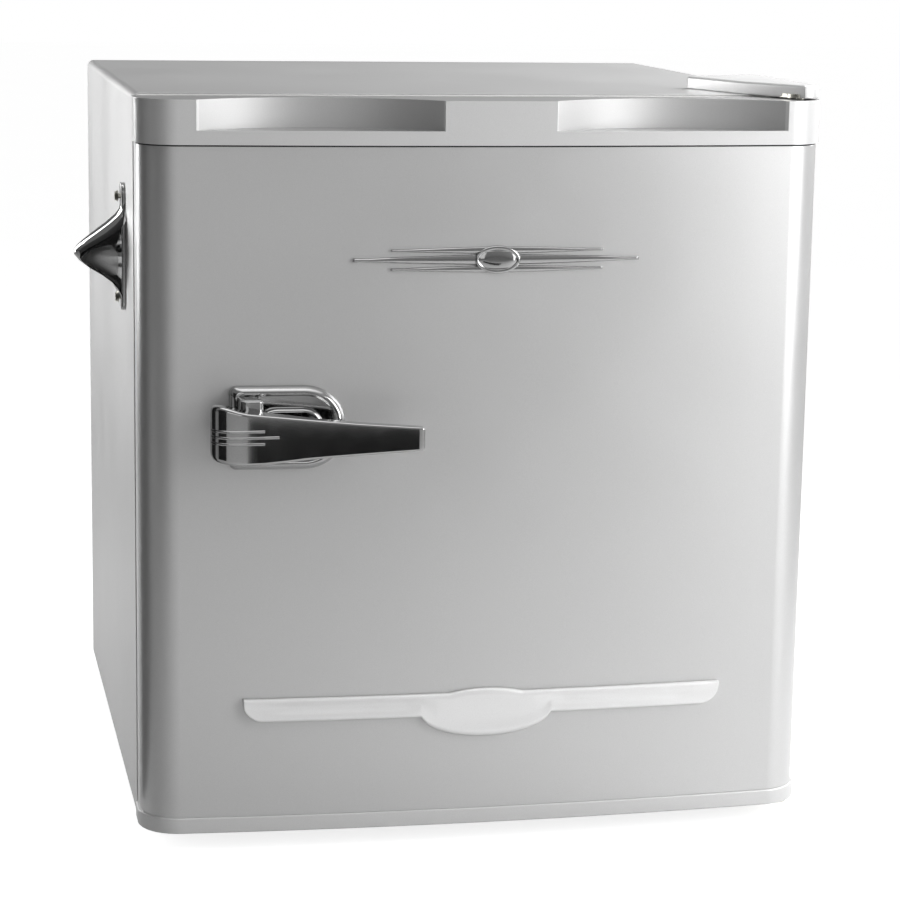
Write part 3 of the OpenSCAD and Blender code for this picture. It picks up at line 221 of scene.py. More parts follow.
CLEAR_PLASTIC = moulded("clear_plastic", (0.62, 0.76, 0.84), (0.70, 0.84, 0.90), 0.10, 80, 0.03,
                        Transmission_Weight=0.85, IOR=1.49)
FROSTED = moulded("frosted_plastic", (0.70, 0.78, 0.82), (0.78, 0.86, 0.90), 0.34, 500, 0.15,
                  Transmission_Weight=0.55, IOR=1.49)


# ---------------------------------------------------------------- mesh helpers

def piece(name, verts, faces, material, body, stands_for=(), bevel=0.0, angle=32, segments=3, subdivide=0):
    """A mesh piece that rides on a body, takes a slot's finish and may stand for CAD nodes."""
    mesh = bpy.data.meshes.new(name)
    mesh.from_pydata([tuple(v) for v in verts], [], [tuple(f) for f in faces])
    bm = bmesh.new()
    bm.from_mesh(mesh)
    bmesh.ops.remove_doubles(bm, verts=bm.verts, dist=1e-7)
    bmesh.ops.recalc_face_normals(bm, faces=bm.faces)
    bm.to_mesh(mesh)
    bm.free()
    obj = bpy.data.objects.new(name, mesh)
    bpy.context.scene.collection.objects.link(obj)
    for m in material if isinstance(material, (list, tuple)) else [material]:
        mesh.materials.append(m)
    soften(obj, bevel, angle, segments, subdivide)
    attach(obj, body)
    if stands_for:
        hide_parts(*stands_for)
    return obj


def soften(obj, bevel=0.0, angle=32, segments=3, subdivide=0):
    """Smooth shading, with a small bevel on the sharp edges so that they catch the light."""
    for polygon in obj.data.polygons:
        polygon.use_smooth = True
    if subdivide:
        m = obj.modifiers.new("subdivide", "SUBSURF")
        m.levels = m.render_levels = subdivide
    if bevel:
        m = obj.modifiers.new("bevel", "BEVEL")
        m.width = bevel * MM
        m.segments = segments
        m.limit_method = "ANGLE"
        m.angle_limit = math.radians(angle)
        m.use_clamp_overlap = True
        m.harden_normals = False
    m = obj.modifiers.new("normals", "WEIGHTED_NORMAL")
    m.keep_sharp = True
    return obj


def apply_modifiers(obj):
    """Turns what the modifiers make into the object's own mesh."""
    graph = bpy.context.evaluated_depsgraph_get()
    mesh = bpy.data.meshes.new_from_object(obj.evaluated_get(graph))
    obj.modifiers.clear()
    obj.data = mesh


def loft(rings, closed=True, caps=True):
    """Vertices and faces of a skin over rings that have the same number of points."""
    count = len(rings[0])
    verts = [p for ring in rings for p in ring]
    span = count if closed else count - 1
    faces = [(i * count + k, (i + 1) * count + k, (i + 1) * count + (k + 1) % count, i * count + (k + 1) % count)
             for i in range(len(rings) - 1) for k in range(span)]
    if caps:
        faces += [tuple(range(count))[::-1], tuple(range((len(rings) - 1) * count, len(rings) * count))]
    return verts, faces


def arc(cx, cy, r, a0, a1, n):
    return [(cx + r * cos(math.radians(a0 + (a1 - a0) * i / n)), cy + r * sin(math.radians(a0 + (a1 - a0) * i / n)))
            for i in range(n + 1)]


def upright(outline, z0, z1, hollow=None):
    """A prism over an outline in x and y between two heights, or a tube when a second outline is given."""
    outer = [[at(x, y, z) for x, y in outline] for z in (z0, z1)]
    if not hollow:
        return loft(outer)
    inner = [[at(x, y, z) for x, y in hollow] for z in (z0, z1)]
    rings = [outer[0], outer[1], inner[1], inner[0], outer[0]]
    return loft(rings, caps=False)


def bulge(x):
    """How far back the door's front lies at x, because of its bulge."""
    return DOOR_BULGE * (x / (HALF_W - DOOR_EDGE_R)) ** 2


def door_outline(o, back, fine=6):
    """The door seen from above, grown by o."""
    span = HALF_W - DOOR_EDGE_R
    lean = math.degrees(math.atan(2 * DOOR_BULGE / span))
    cy = DOOR_BULGE + DOOR_EDGE_R
    reach = span + DOOR_EDGE_R * sin(math.radians(lean)) * 0.6
    front = [(x, bulge(x) - o) for x in [reach * (i / (4 * fine) - 1) * 0.985 for i in range(1, 8 * fine)]]
    return ([(-HALF_W - o, back)] + arc(-span, cy, DOOR_EDGE_R + o, 180, 270 - lean, 3 * fine) + front
            + arc(span, cy, DOOR_EDGE_R + o, 270 + lean, 360, 3 * fine) + [(HALF_W + o, back)])


def on_door(name, x0, x1, low, high, proud, material, stands_for=(), columns=120, rows=10):
    """A raised shape on the door's front. low(x) and high(x) are its edges and proud(x, s) its height at s across."""
    front, back = [], []
    for i in range(columns + 1):
        x = x0 + (x1 - x0) * i / columns
        a, b = low(x), high(x)
        front.append([at(x, bulge(x) - proud(x, j / rows), a + (b - a) * j / rows) for j in range(rows + 1)])
        back.append([at(x, bulge(x) + 0.6, b), at(x, bulge(x) + 0.6, a)])
    rings = [f + r for f, r in zip(front, back)]
    verts, faces = loft(rings)
    return piece(name, verts, faces, material, "door", stands_for, angle=50)


def swept(name, path, radius, material, body, stands_for=(), cyclic=False, resolution=6):
    """A round rod along a path of row-frame points."""
    curve = bpy.data.curves.new(name, "CURVE")
    curve.dimensions = "3D"
    curve.bevel_depth = radius * MM
    curve.bevel_resolution = resolution
    curve.use_fill_caps = True
    spline = curve.splines.new("POLY")
    spline.points.add(len(path) - 1)
    for point, p in zip(spline.points, path):
        point.co = (*p, 1)
    spline.use_cyclic_u = cyclic
    obj = bpy.data.objects.new(name, curve)
    bpy.context.scene.collection.objects.link(obj)
    curve.materials.append(material)
    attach(obj, body)
    if stands_for:
        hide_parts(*stands_for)
    return obj


# ---------------------------------------------------------------- cabinet

def cabinet_wrapper():
    """Folded sheet over the top and sides, with round upper corners."""
    def profile(o):
        half, top = HALF_W - o, TOP_Z - o
        corner = SHELL_R - o
        return ([(-half, FOOT_Z)] + arc(-half + corner, top - corner, corner, 180, 90, 8)
                + arc(half - corner, top - corner, corner, 90, 0, 8) + [(half, FOOT_Z)])

    rings = []
    for o, y in ((0, CAB_Y), (0, BACK_Y), (SHELL_SHEET, BACK_Y), (SHELL_SHEET, CAB_Y), (0, CAB_Y)):
        rings.append([at(x, y, z) for x, z in profile(o)])
    verts, faces = loft(rings, closed=False, caps=False)
    count = len(rings[0])
    for k in (0, count - 1):
        faces.append([i * count + k for i in range(4)])
    piece("cabinet_wrapper", verts, faces, CABINET_PAINT, "cabinet", ["outer_shell"], bevel=0.3, segments=2)


def hinge_cover():
    """Low moulded cover with a crowned top and a small step round its foot."""
    pin_x, r = HALF_W - 12.5, 12.0
    z0, z1 = cover_lo.z / MM, cover_hi.z / MM

    def outline(o):
        return (arc(pin_x, 27, r - o, -95, 0, 8) + arc(pin_x, CAB_Y + 82, r - o, 0, 80, 8)
                + arc(HALF_W - 54, CAB_Y + 66, 7 - o * 0.8, 100, 195, 6) + [(HALF_W - 43 + o, CAB_Y + 8)])

    rings = [[at(x, y, z) for x, y in outline(o)]
             for o, z in ((0.5, z0), (0, z0 + 0.8), (0, z1 - 2.2), (0.5, z1 - 1.2), (1.4, z1 - 0.4), (2.8, z1))]
    verts, faces = loft(rings)
    piece("hinge_cover_shell", verts, faces, COVER_PAINT, "cabinet", ["hinge_cover"], bevel=0.25, angle=40, segments=2)


# height from the opener's middle, reach out from the side, half width
OPENER_RIBS = ((29, 2.6, 7), (25, 3.4, 8.5), (21, 6.5, 12), (16, 12.5, 15.5), (10, 20.5, 17), (5, 27, 16.5), (1, 31.5, 14.5),
               (-2, 33.4, 13), (-5, 33.2, 12.6), (-9, 30, 12.4), (-14, 23.5, 12.2), (-19, 15, 11.2), (-24, 8.5, 9.5),
               (-29, 5.4, 8), (-34, 4, 7))


def opener_nose(name, shrink, shift_y, shift_z):
    """The hood's hull: round noses stacked up the side, drawn in by shrink."""
    mid_y = (local_y(opener_lo.y) + local_y(opener_hi.y)) / 2
    mid_z = (opener_lo.z + opener_hi.z) / 2 / MM
    rings = []
    for up, out, half in OPENER_RIBS:
        out, half = max(out - shrink, 0.3), max(half - shrink, 0.5)
        ring = []
        for k in range(25):
            t = math.radians(-90 + 7.5 * k)
            ring.append(at(-HALF_W - 0.2 - out * max(cos(t), 0.0) ** 0.85, mid_y + shift_y + half * sin(t),
                           mid_z + shift_z + up * (1 - shrink / 40)))
        rings.append(ring)
    verts, faces = loft(rings)
    return piece(name, verts, faces, CHROME, "cabinet")


def bottle_opener():
    """Cast hood on a thin tabbed plate, hollowed from the front and below for the bottle cap."""
    hood = opener_nose("bottle_opener_hood", 0, 0, 0)
    hollow = opener_nose("cutter", 2.6, -7.5, -4.5)
    hollow.modifiers.clear()
    hood.modifiers.clear()
    m = hood.modifiers.new("mouth", "BOOLEAN")
    m.operation, m.object, m.solver = "DIFFERENCE", hollow, "EXACT"
    apply_modifiers(hood)
    bpy.data.objects.remove(hollow)
    soften(hood, 0.6, 38, 3)
    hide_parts("bottle_opener")
    mid_y = (local_y(opener_lo.y) + local_y(opener_hi.y)) / 2
    top, bottom = opener_hi.z / MM, opener_lo.z / MM
    outline = (arc(mid_y, top - 7, 7, 0, 180, 12) + [(mid_y - 7, top - 18), (mid_y - 9.5, (top + bottom) / 2)]
               + arc(mid_y, bottom + 6, 6, 180, 360, 12) + [(mid_y + 9.5, (top + bottom) / 2), (mid_y + 7, top - 18)])
    rings = [[at(-HALF_W - x, mid_y + (y - mid_y) * k, z) for y, z in outline] for x, k in ((0, 1), (2.0, 1), (2.8, 0.9))]
    verts, faces = loft(rings)
    piece("bottle_opener_plate", verts, faces, CHROME, "cabinet", bevel=0.3, angle=40)


# ---------------------------------------------------------------- door

def door_skin():
    """Pressed skin with its folded back edges, and a thin black band under the cap that is a painted shadow line."""
    outer, inner = door_outline(0, DOOR_BACK, 10), door_outline(-SKIN_SHEET, DOOR_BACK, 10)
    verts, faces = upright(outer, SKIN_Z0, SKIN_Z1 - CAP_SHADOW_BAND, inner)
    piece("door_front_skin", verts, faces, DOOR_PAINT, "door", ["door_skin"], bevel=0.25, angle=40, segments=2)
    # Black band between skin and cap: a painted shadow line where the gap would be in shade.
    verts, faces = upright(door_outline(-0.3, DOOR_BACK, 10), SKIN_Z1 - CAP_SHADOW_BAND, SKIN_Z1, door_outline(-0.8, DOOR_BACK, 10))
    piece("door_cap_painted_shadow_line", verts, faces, RUBBER, "door")


def scoop_cutter(x):
    """The upright drum that cuts a finger scoop."""
    limit = SCOOP_WIDTH / 2
    r = (limit ** 2 + SCOOP_DEPTH ** 2) / (2 * SCOOP_DEPTH)
    centre_y = SCOOP_DEPTH - r - 0.6
    outline = [(px, py) for px, py in arc(x, centre_y, r, 0, 180, 360) if abs(px - x) <= limit]
    outline = [(x + limit, -12)] + outline + [(x - limit, -12)]
    verts, faces = upright(outline, DOOR_Z1 - SCOOP_DROP, DOOR_Z1 + 5)
    cutter = piece("cutter", verts, faces, SCOOP_SHADED_PAINT, "door")
    cutter.modifiers.clear()
    return cutter


def door_top_cap():
    """Painted end cap with two deep finger scoops. Its top faces take a darker paint as painted shade, its scoop walls
    a darker, glossier paint that is partly painted shade, and it sits over the skin's black band, a painted shadow
    line.
    """
    verts, faces = upright(door_outline(CAP_LIP, DOOR_BACK, 10), SKIN_Z1, DOOR_Z1)
    cap = piece("door_cap_top", verts, faces, [CAP_PAINT, CAP_TOP_PAINTED_SHADE, SCOOP_SHADED_PAINT], "door", ["door_top_cap"])
    cap.modifiers.clear()
    cutters = []
    for x in SCOOP_PLACES:
        cutter = scoop_cutter(x)
        cutters.append(cutter)
        m = cap.modifiers.new("scoop", "BOOLEAN")
        m.operation, m.object, m.solver = "DIFFERENCE", cutter, "EXACT"
    apply_modifiers(cap)
    for cutter in cutters:
        bpy.data.objects.remove(cutter)
    mesh = cap.data
    mesh.materials.clear()
    for m in (CAP_PAINT, CAP_TOP_PAINTED_SHADE, SCOOP_SHADED_PAINT):
        mesh.materials.append(m)
    for polygon in mesh.polygons:
        c, n = polygon.center, polygon.normal
        x, y, z = local_x(c.x), local_y(c.y), c.z / MM
        inside = any(abs(x - p) < SCOOP_WIDTH / 2 + 0.5 for p in SCOOP_PLACES) and y > bulge(x) + 0.2
        polygon.material_index = 0
        # Faces that look up take the darker top paint: painted shade on the cap's top.
        if n.z > 0.9:
            polygon.material_index = 1
        # Scoop walls take the darker scoop paint: painted shade in the recess, with its own glossier finish.
        elif inside and abs(n.z) < 0.1 and n.y < 0.5 and z > DOOR_Z1 - SCOOP_DROP and y < DOOR_BACK - 3:
            polygon.material_index = 2
    soften(cap, 0.7, 30, 3)


def door_bottom_cap():
    verts, faces = upright(door_outline(CAP_LIP, DOOR_BACK, 10), DOOR_Z0, SKIN_Z0)
    piece("door_cap_bottom", verts, faces, COVER_PAINT, "door", ["door_bottom_cap"], bevel=1.0, angle=40)


def door_gasket():
    """Magnetic gasket: a bellows section carried round the door with mitred corners."""
    x1, z0, z1 = local_x(gasket_hi.x), gasket_lo.z / MM, gasket_hi.z / MM
    x0, y0, y1 = local_x(gasket_lo.x), local_y(gasket_lo.y), local_y(gasket_hi.y)
    section = [(0.6, y0), (0, y0 + 1.4), (1.3, y0 + 2.4), (0.1, y0 + 3.6), (1.2, y0 + 4.8), (0.2, y0 + 6), (0.5, y1 - 0.5),
               (1.5, y1), (10.5, y1), (11.6, y1 - 0.8), (11.6, y1 - 2.4), (9.6, y0 + 3), (10.6, y0 + 1.6), (10, y0)]
    rings = []
    for cx, cz, sx, sz in ((x0, z0, 1, 1), (x1, z0, -1, 1), (x1, z1, -1, -1), (x0, z1, 1, -1), (x0, z0, 1, 1)):
        rings.append([at(cx + sx * a, y, cz + sz * a) for a, y in section])
    verts, faces = loft(rings, caps=False)
    piece("door_gasket_bellows", verts, faces, RUBBER, "door", ["door_gasket"], bevel=0.25, segments=2)


# ---------------------------------------------------------------- handle

LEVER_Z = (plate_lo.z + plate_hi.z) / 2 / MM
PLATE_X0 = local_x(plate_lo.x)
PLATE_X1 = local_x(plate_hi.x)
PLATE_HALF_H = (plate_hi.z - plate_lo.z) / 2 / MM
LEVER_X0 = local_x(lever_lo.x)
LEVER_X1 = local_x(lever_hi.x)
LEVER_FRONT = local_y(lever_lo.y)


def plate_outline(o):
    """The base plate: straight at the left, swept round at the right."""
    half, r = PLATE_HALF_H - o, 5.0
    x0, x1 = PLATE_X0 + o, PLATE_X1 - o
    flat = PLATE_X1 - 27
    nose = [(flat + (x1 - flat) * sin(pi / 2 * i / 12), half * cos(pi / 2 * i / 12) ** 0.86) for i in range(13)]
    nose += [(x, -z) for x, z in nose[-2::-1]]
    left = arc(x0 + r, -half + r, r, 270, 180, 6) + arc(x0 + r, half - r, r, 180, 90, 6)
    return [(x, z) for x, z in nose] + left


def handle_base():
    """Chromed base plate with a rolled rim, a raised pad and the lever's pivot block."""
    rings = []
    for o, h in ((0.6, 0), (0, 0.8), (0, 2.2), (0.8, 4.2), (2.6, 6.4), (4.2, 7.0), (5.4, 6.3), (6.2, 4.9)):
        rings.append([at(x, bulge(x) - h, LEVER_Z + z) for x, z in plate_outline(o)])
    verts, faces = loft(rings)
    base = piece("handle_plate", verts, faces, CHROME, "door", ["handle_base"], bevel=0.2, angle=50, segments=2)
    pad = []
    for o, h in ((0, 4.0), (0, 8.0), (1.2, 9.6), (3, 10.2)):
        outline = arc(PLATE_X1 - 22 - 6, 0, 13 - o, -90, 90, 16) + arc(PLATE_X0 + 30, 0, 13 - o, 90, 270, 16)
        pad.append([at(x, bulge(x) - h, LEVER_Z + z * 0.8 + 3) for x, z in outline])
    verts, faces = loft(pad)
    piece("handle_pad", verts, faces, CHROME, "door", bevel=0.3, segments=2, angle=50)
    x0, x1, half = PLATE_X0 + 4.5, PLATE_X0 + 19, PLATE_HALF_H - 7
    front = LEVER_FRONT + 14
    outline = ([(x1, 0), (x1, front + 3)] + arc(x1 - 3, front + 3, 3, 0, -90, 4)
               + arc(x0 + 5, front + 5, 5, 270, 180, 6) + [(x0, 0)])
    verts, faces = upright(outline, LEVER_Z - half, LEVER_Z + half + 1)
    piece("handle_pivot_block", verts, faces, CHROME, "door", bevel=1.0, angle=40)


def lever_section(x, front, back, top, bottom, r):
    """A rounded rectangle across the lever at x."""
    ring = []
    r = min(r, (top - bottom) / 2 - 0.2, (back - front) / 2 - 0.2)
    for cy, cz, a in ((front + r, bottom + r, 180), (front + r, top - r, 90), (back - r, top - r, 0), (back - r, bottom + r, -90)):
        for k in range(6):
            t = math.radians(a + 90 - 18 * k)
            ring.append(at(x, cy + r * cos(t), cz + r * sin(t)))
    return ring


def handle_lever():
    """Chromed lever lofted along x: a round-ended block that runs out into a tapering blade."""
    f, mid = LEVER_FRONT + 0.6, LEVER_Z
    x0, x1 = LEVER_X0, LEVER_X1
    back = LEVER_FRONT + 16.0
    # (x, front, back, top, bottom, edge radius)
    rows = [(x0, f + 14.6, back, mid + 14, mid - 9, 0.7), (x0 + 0.3, f + 11, back + 0.4, mid + 17, mid - 12, 2.4),
            (x0 + 1.4, f + 7.4, back + 0.6, mid + 19.0, mid - 14.2, 3.0), (x0 + 3.6, f + 4.6, back + 0.6, mid + 19.8, mid - 15.6, 3.0),
            (x0 + 7, f + 2.4, back + 0.6, mid + 19.6, mid - 16.4, 3.0), (x0 + 11, f + 1.0, back + 0.6, mid + 18.6, mid - 17, 2.8),
            (x0 + 16, f + 0.2, back + 0.6, mid + 17.0, mid - 17.4, 2.4), (x0 + 22, f, back + 0.6, mid + 15.6, mid - 17.4, 2.0),
            (x0 + 33.2, f, back + 0.6, mid + 14.2, mid - 17.0, 1.8), (x0 + 33.8, f + 0.5, back + 0.6, mid + 14.1, mid - 17.0, 1.8),
            (x0 + 46, f + 0.5, back - 1.5, mid + 12.8, mid - 16.0, 1.8), (x0 + 58, f + 0.5, back - 4, mid + 11.5, mid - 14.6, 1.7),
            (x0 + 72, f + 0.5, back - 5.5, mid + 10.0, mid - 13.6, 1.6), (x0 + 92, f + 0.6, back - 6.4, mid + 8.0, mid - 12.4, 1.5),
            (x1 - 8, f + 0.9, back - 7, mid + 5.2, mid - 10.6, 1.4), (x1 - 1.6, f + 1.0, back - 7.2, mid + 4.7, mid - 10.2, 1.3),
            (x1 - 0.3, f + 1.8, back - 7.8, mid + 4.0, mid - 9.5, 1.0), (x1, f + 2.6, back - 8.4, mid + 3.2, mid - 8.7, 0.8)]
    dense = []
    for a, b in zip(rows, rows[1:]):
        dense += [[p + (q - p) * t for p, q in zip(a, b)] for t in (0, 0.5)] if b[0] - a[0] > 5 else [a]
    dense.append(rows[-1])
    verts, faces = loft([lever_section(*row) for row in dense])
    piece("handle_lever_cast", verts, faces, CHROME, "door", ["handle_lever"], bevel=0.0, angle=60)
    for i, length in ((-1, 33), (0, 42), (1, 33)):
        z = mid + 0.4 + i * 3.9
        curve = [(x0 + 0.9, f + 12), (x0 + 1.8, f + 7.6), (x0 + 4, f + 4.8), (x0 + 7.4, f + 2.5), (x0 + 11.4, f + 1.1),
                 (x0 + 16.4, f + 0.5), (x0 + 22, f + 0.4), (x0 + length - 0.6, f + 0.4)]
        swept(f"lever_rib_{i + 2}", [at(x, y, z) for x, y in curve], 1.0, CHROME, "door")


# ---------------------------------------------------------------- badge and trim

def front_badge():
    """Plain speed lines through a small oval, in chrome."""
    mid_x = (local_x(badge_lo.x) + local_x(badge_hi.x)) / 2
    mid_z = (badge_lo.z + badge_hi.z) / 2 / MM
    half = (local_x(badge_hi.x) - local_x(badge_lo.x)) / 2
    for i, (reach, thick, dz) in enumerate(((half, 3.4, 0), (half * 0.74, 2.3, 6.0), (half * 0.74, 2.3, -6.0))):
        def width(x, reach=reach, thick=thick):
            return thick * max(0.12, 1 - abs((x - mid_x) / reach)) ** 0.5
        on_door(f"badge_line_{i + 1}", mid_x - reach, mid_x + reach, lambda x, w=width, d=dz: mid_z + d - w(x),
                lambda x, w=width, d=dz: mid_z + d + w(x), lambda x, s: 0.5 + 1.3 * sin(pi * (0.08 + 0.84 * s)), CHROME,
                ["front_badge"] if i == 0 else (), rows=8)
    rings = []
    for o, h in ((0, 0), (0, 1.2), (0.5, 2.0), (1.4, 2.35), (2.2, 2.1), (2.8, 1.5), (4.5, 2.0), (8, 2.3)):
        rings.append([at(mid_x + (15 - o) * cos(a), bulge(mid_x + (15 - o) * cos(a)) - h, mid_z + max(9 - o, 0.6) * sin(a))
                      for a in [2 * pi * k / 48 for k in range(48)]])
    verts, faces = loft(rings)
    piece("badge_oval", verts, faces, CHROME, "door", bevel=0.1, angle=50, segments=2)


def lower_trim():
    """Pale silver wing with round lower ends, a hollowed upper half and a plain oval in the middle."""
    x0, x1 = local_x(trim_lo.x), local_x(trim_hi.x)
    mid = (x0 + x1) / 2
    half_h = 7.8
    oval_w, oval_h, drop = 43.5, 16.2, 5.7
    z = trim_lo.z / MM + oval_h + drop
    r = 13.0

    def oval(x, sign):
        u = (x - mid) / oval_w
        return z - drop + sign * oval_h * math.sqrt(max(0.0, 1 - u * u)) if abs(u) < 1 else None

    def low(x):
        d = min(x - x0, x1 - x)
        edge = z - half_h + (r - math.sqrt(max(0.0, r * r - (r - d) ** 2)) if d < r else 0)
        o = oval(x, -1)
        return min(min(edge, z + half_h - 1), o) if o is not None else min(edge, z + half_h - 1)

    def high(x):
        o = oval(x, 1)
        return max(z + half_h, o) if o is not None else z + half_h

    def proud(x, s):
        u = abs(x - mid) / oval_w
        end = min(1, min(x - x0, x1 - x) / 30)
        rim = min(1, s * 9, (1 - s) * 9)
        hollow = 1.5 * end * math.exp(-((s - 0.60) / 0.24) ** 2) * min(1, max(0, (u - 0.75) * 2.2))
        dish = 1.6 * max(0, 1 - u * u) * sin(pi * s) ** 2 * (1 - s * 0.7) if u < 1 else 0
        return 2.2 + 1.8 * math.sqrt(max(rim, 0)) - hollow - dish

    on_door("lower_trim_wing", x0, x1, low, high, proud, TRIM_PAINT, ["lower_trim"], columns=320, rows=28)


# ---------------------------------------------------------------- inside

def wire_shelf():
    """Coated wire shelf: border, cross rods and close wires, each a round rod."""
    lo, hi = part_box("wire_shelf")
    r = 2.6
    x0, x1, y0, y1 = local_x(lo.x) + r, local_x(hi.x) - r, local_y(lo.y) + r, local_y(hi.y) - r
    z = lo.z / MM + r
    c = 12
    border = (arc(x1 - c, y0 + c, c, -90, 0, 8) + arc(x1 - c, y1 - c, c, 0, 90, 8) + arc(x0 + c, y1 - c, c, 90, 180, 8)
              + arc(x0 + c, y0 + c, c, 180, 270, 8))
    swept("shelf_border", [at(x, y, z) for x, y in border], r, WIRE_COAT, "shelf", ["wire_shelf"], True)
    for k in (1, 2):
        y = y0 + k * (y1 - y0) / 3
        swept(f"shelf_cross_rod_{k}", [at(x0, y, z), at(x1, y, z)], r * 0.8, WIRE_COAT, "shelf")
    wires = 19
    for i in range(1, wires + 1):
        x = x0 + (x1 - x0) * i / (wires + 1)
        swept(f"shelf_wire_{i}", [at(x, y0, z + 1.5), at(x, y1, z + 1.5)], 1.4, WIRE_COAT, "shelf", resolution=3)


NODE_LOOKS = {
    "base_pan": (BLACK_PAINT, 0.2), "back_panel": (CABINET_PAINT, 0.2), "back_panel_screws": (ZINC, 0.1),
    "insulation_foam": (FOAM, 0.3), "inner_liner": (LINER, 0.9), "compressor_tray": (BLACK_PAINT, 0.4),
    "rear_feet": (RUBBER, 0.5), "foot_inserts": (ZINC, 0.2), "leveling_foot_left": (BLACK_PLASTIC, 0.4),
    "leveling_foot_right": (BLACK_PLASTIC, 0.4), "compressor": (BLACK_PAINT, 0.8), "compressor_grommets": (RUBBER, 0.4),
    "compressor_bolts": (ZINC, 0.3), "relay_cover": (BLACK_PLASTIC, 0.8), "cord_gland": (BLACK_PLASTIC, 0.3),
    "filter_drier": (COPPER, 0.5), "discharge_pipe": (COPPER, 0), "link_pipe": (COPPER, 0), "drier_pipe": (COPPER, 0),
    "condenser_coil_left": (COPPER, 0), "condenser_coil_right": (COPPER, 0), "capillary_tube": (COPPER, 0),
    "suction_pipe": (COPPER, 0), "evaporator": (ALUMINIUM, 0.5), "evaporator_hangers": (WHITE_PLASTIC, 0.2),
    "chiller_bezel": (WHITE_PLASTIC, 0.8), "chiller_door": (CLEAR_PLASTIC, 0.5), "drip_tray_rails": (WHITE_PLASTIC, 0.4),
    "drip_tray": (FROSTED, 0.6), "thermostat_housing": (WHITE_PLASTIC, 1.0), "thermostat_switch": (ZINC, 0.3),
    "thermostat_knob": (WHITE_PLASTIC, 0.4), "sensor_tube": (COPPER, 0), "upper_hinge": (ZINC, 0.3),
    "upper_hinge_screws": (ZINC, 0.15), "lower_hinge": (ZINC, 0.3), "lower_hinge_screws": (ZINC, 0.15),
    "opener_screws": (ZINC, 0.15), "door_foam": (FOAM, 0.2), "door_liner": (LINER, 1.0), "upper_bush": (WHITE_PLASTIC, 0.2),
    "lower_bush": (WHITE_PLASTIC, 0.2), "handle_screws": (CHROME, 0.2), "upper_door_rack": (WHITE_PLASTIC, 0.8),
    "lower_door_rack": (WHITE_PLASTIC, 0.8),
}


def dress_nodes():
    """Gives each CAD node that stays its material, a fine bevel and smooth shading."""
    for name, (material, bevel) in NODE_LOOKS.items():
        node = frame["nodes"][name]
        node.data.materials.clear()
        node.data.materials.append(material)
        soften(node, bevel, 35, 2)


# ---------------------------------------------------------------- camera, light and stage

def camera():
    """The photograph's viewpoint: a long lens from a little left of and above the door."""
    data = bpy.data.cameras.new("camera")
    data.lens, data.sensor_width = 107.5, 36.0
    data.clip_start, data.clip_end = 0.05, 60
    obj = bpy.data.objects.new("camera", data)
    bpy.context.scene.collection.objects.link(obj)
    obj.location = at(-365.2, -1659.4, 592.3)
    yaw, pitch, roll = math.radians(11.575), math.radians(10.961), math.radians(0.899)
    turn = Matrix.Rotation(-yaw, 3, "Z") @ Matrix.Rotation(pi / 2 - pitch, 3, "X") @ Matrix.Rotation(roll, 3, "Z")
    obj.rotation_euler = turn.to_euler()
    bpy.context.scene.camera = obj
    bpy.context.scene.view_settings.view_transform = "Standard"


def softbox(name, place, target, width, height, spread, power):
    data = bpy.data.lights.new(name, "AREA")
    data.shape, data.size, data.size_y, data.energy = "RECTANGLE", width, height, power
    data.spread = math.radians(spread)
    obj = bpy.data.objects.new(name, data)
    bpy.context.scene.collection.objects.link(obj)
    obj.location = place
    obj.rotation_euler = (Vector(target) - Vector(place)).to_track_quat("-Z", "Y").to_euler()
    return obj


def floor():
    """A plain pale floor, lifted to near white where the camera sees it directly."""
    n = Nodes("floor_white", Roughness=0.7)
    n.tint(n.ramp(n.noise(3, 2), 0, 1, 0.3, 0.7), grey(0.60), grey(0.62))
    glow, both, path = n.add("ShaderNodeEmission"), n.add("ShaderNodeAddShader"), n.add("ShaderNodeLightPath")
    scale = n.ramp(path.outputs["Is Camera Ray"], 0.0, FLOOR_GLOW)
    n.link(scale, glow.inputs["Strength"])
    out = n.tree.nodes["Material Output"]
    n.link(n.shader.outputs[0], both.inputs[0])
    n.link(glow.outputs[0], both.inputs[1])
    n.link(both.outputs[0], out.inputs["Surface"])
    mesh = bpy.data.meshes.new("floor")
    reach = 12
    mesh.from_pydata([(-reach, -reach, 0), (reach, -reach, 0), (reach, reach, 0), (-reach, reach, 0)], [], [(0, 1, 2, 3)])
    mesh.materials.append(n.material)
    obj = bpy.data.objects.new("floor", mesh)
    bpy.context.scene.collection.objects.link(obj)


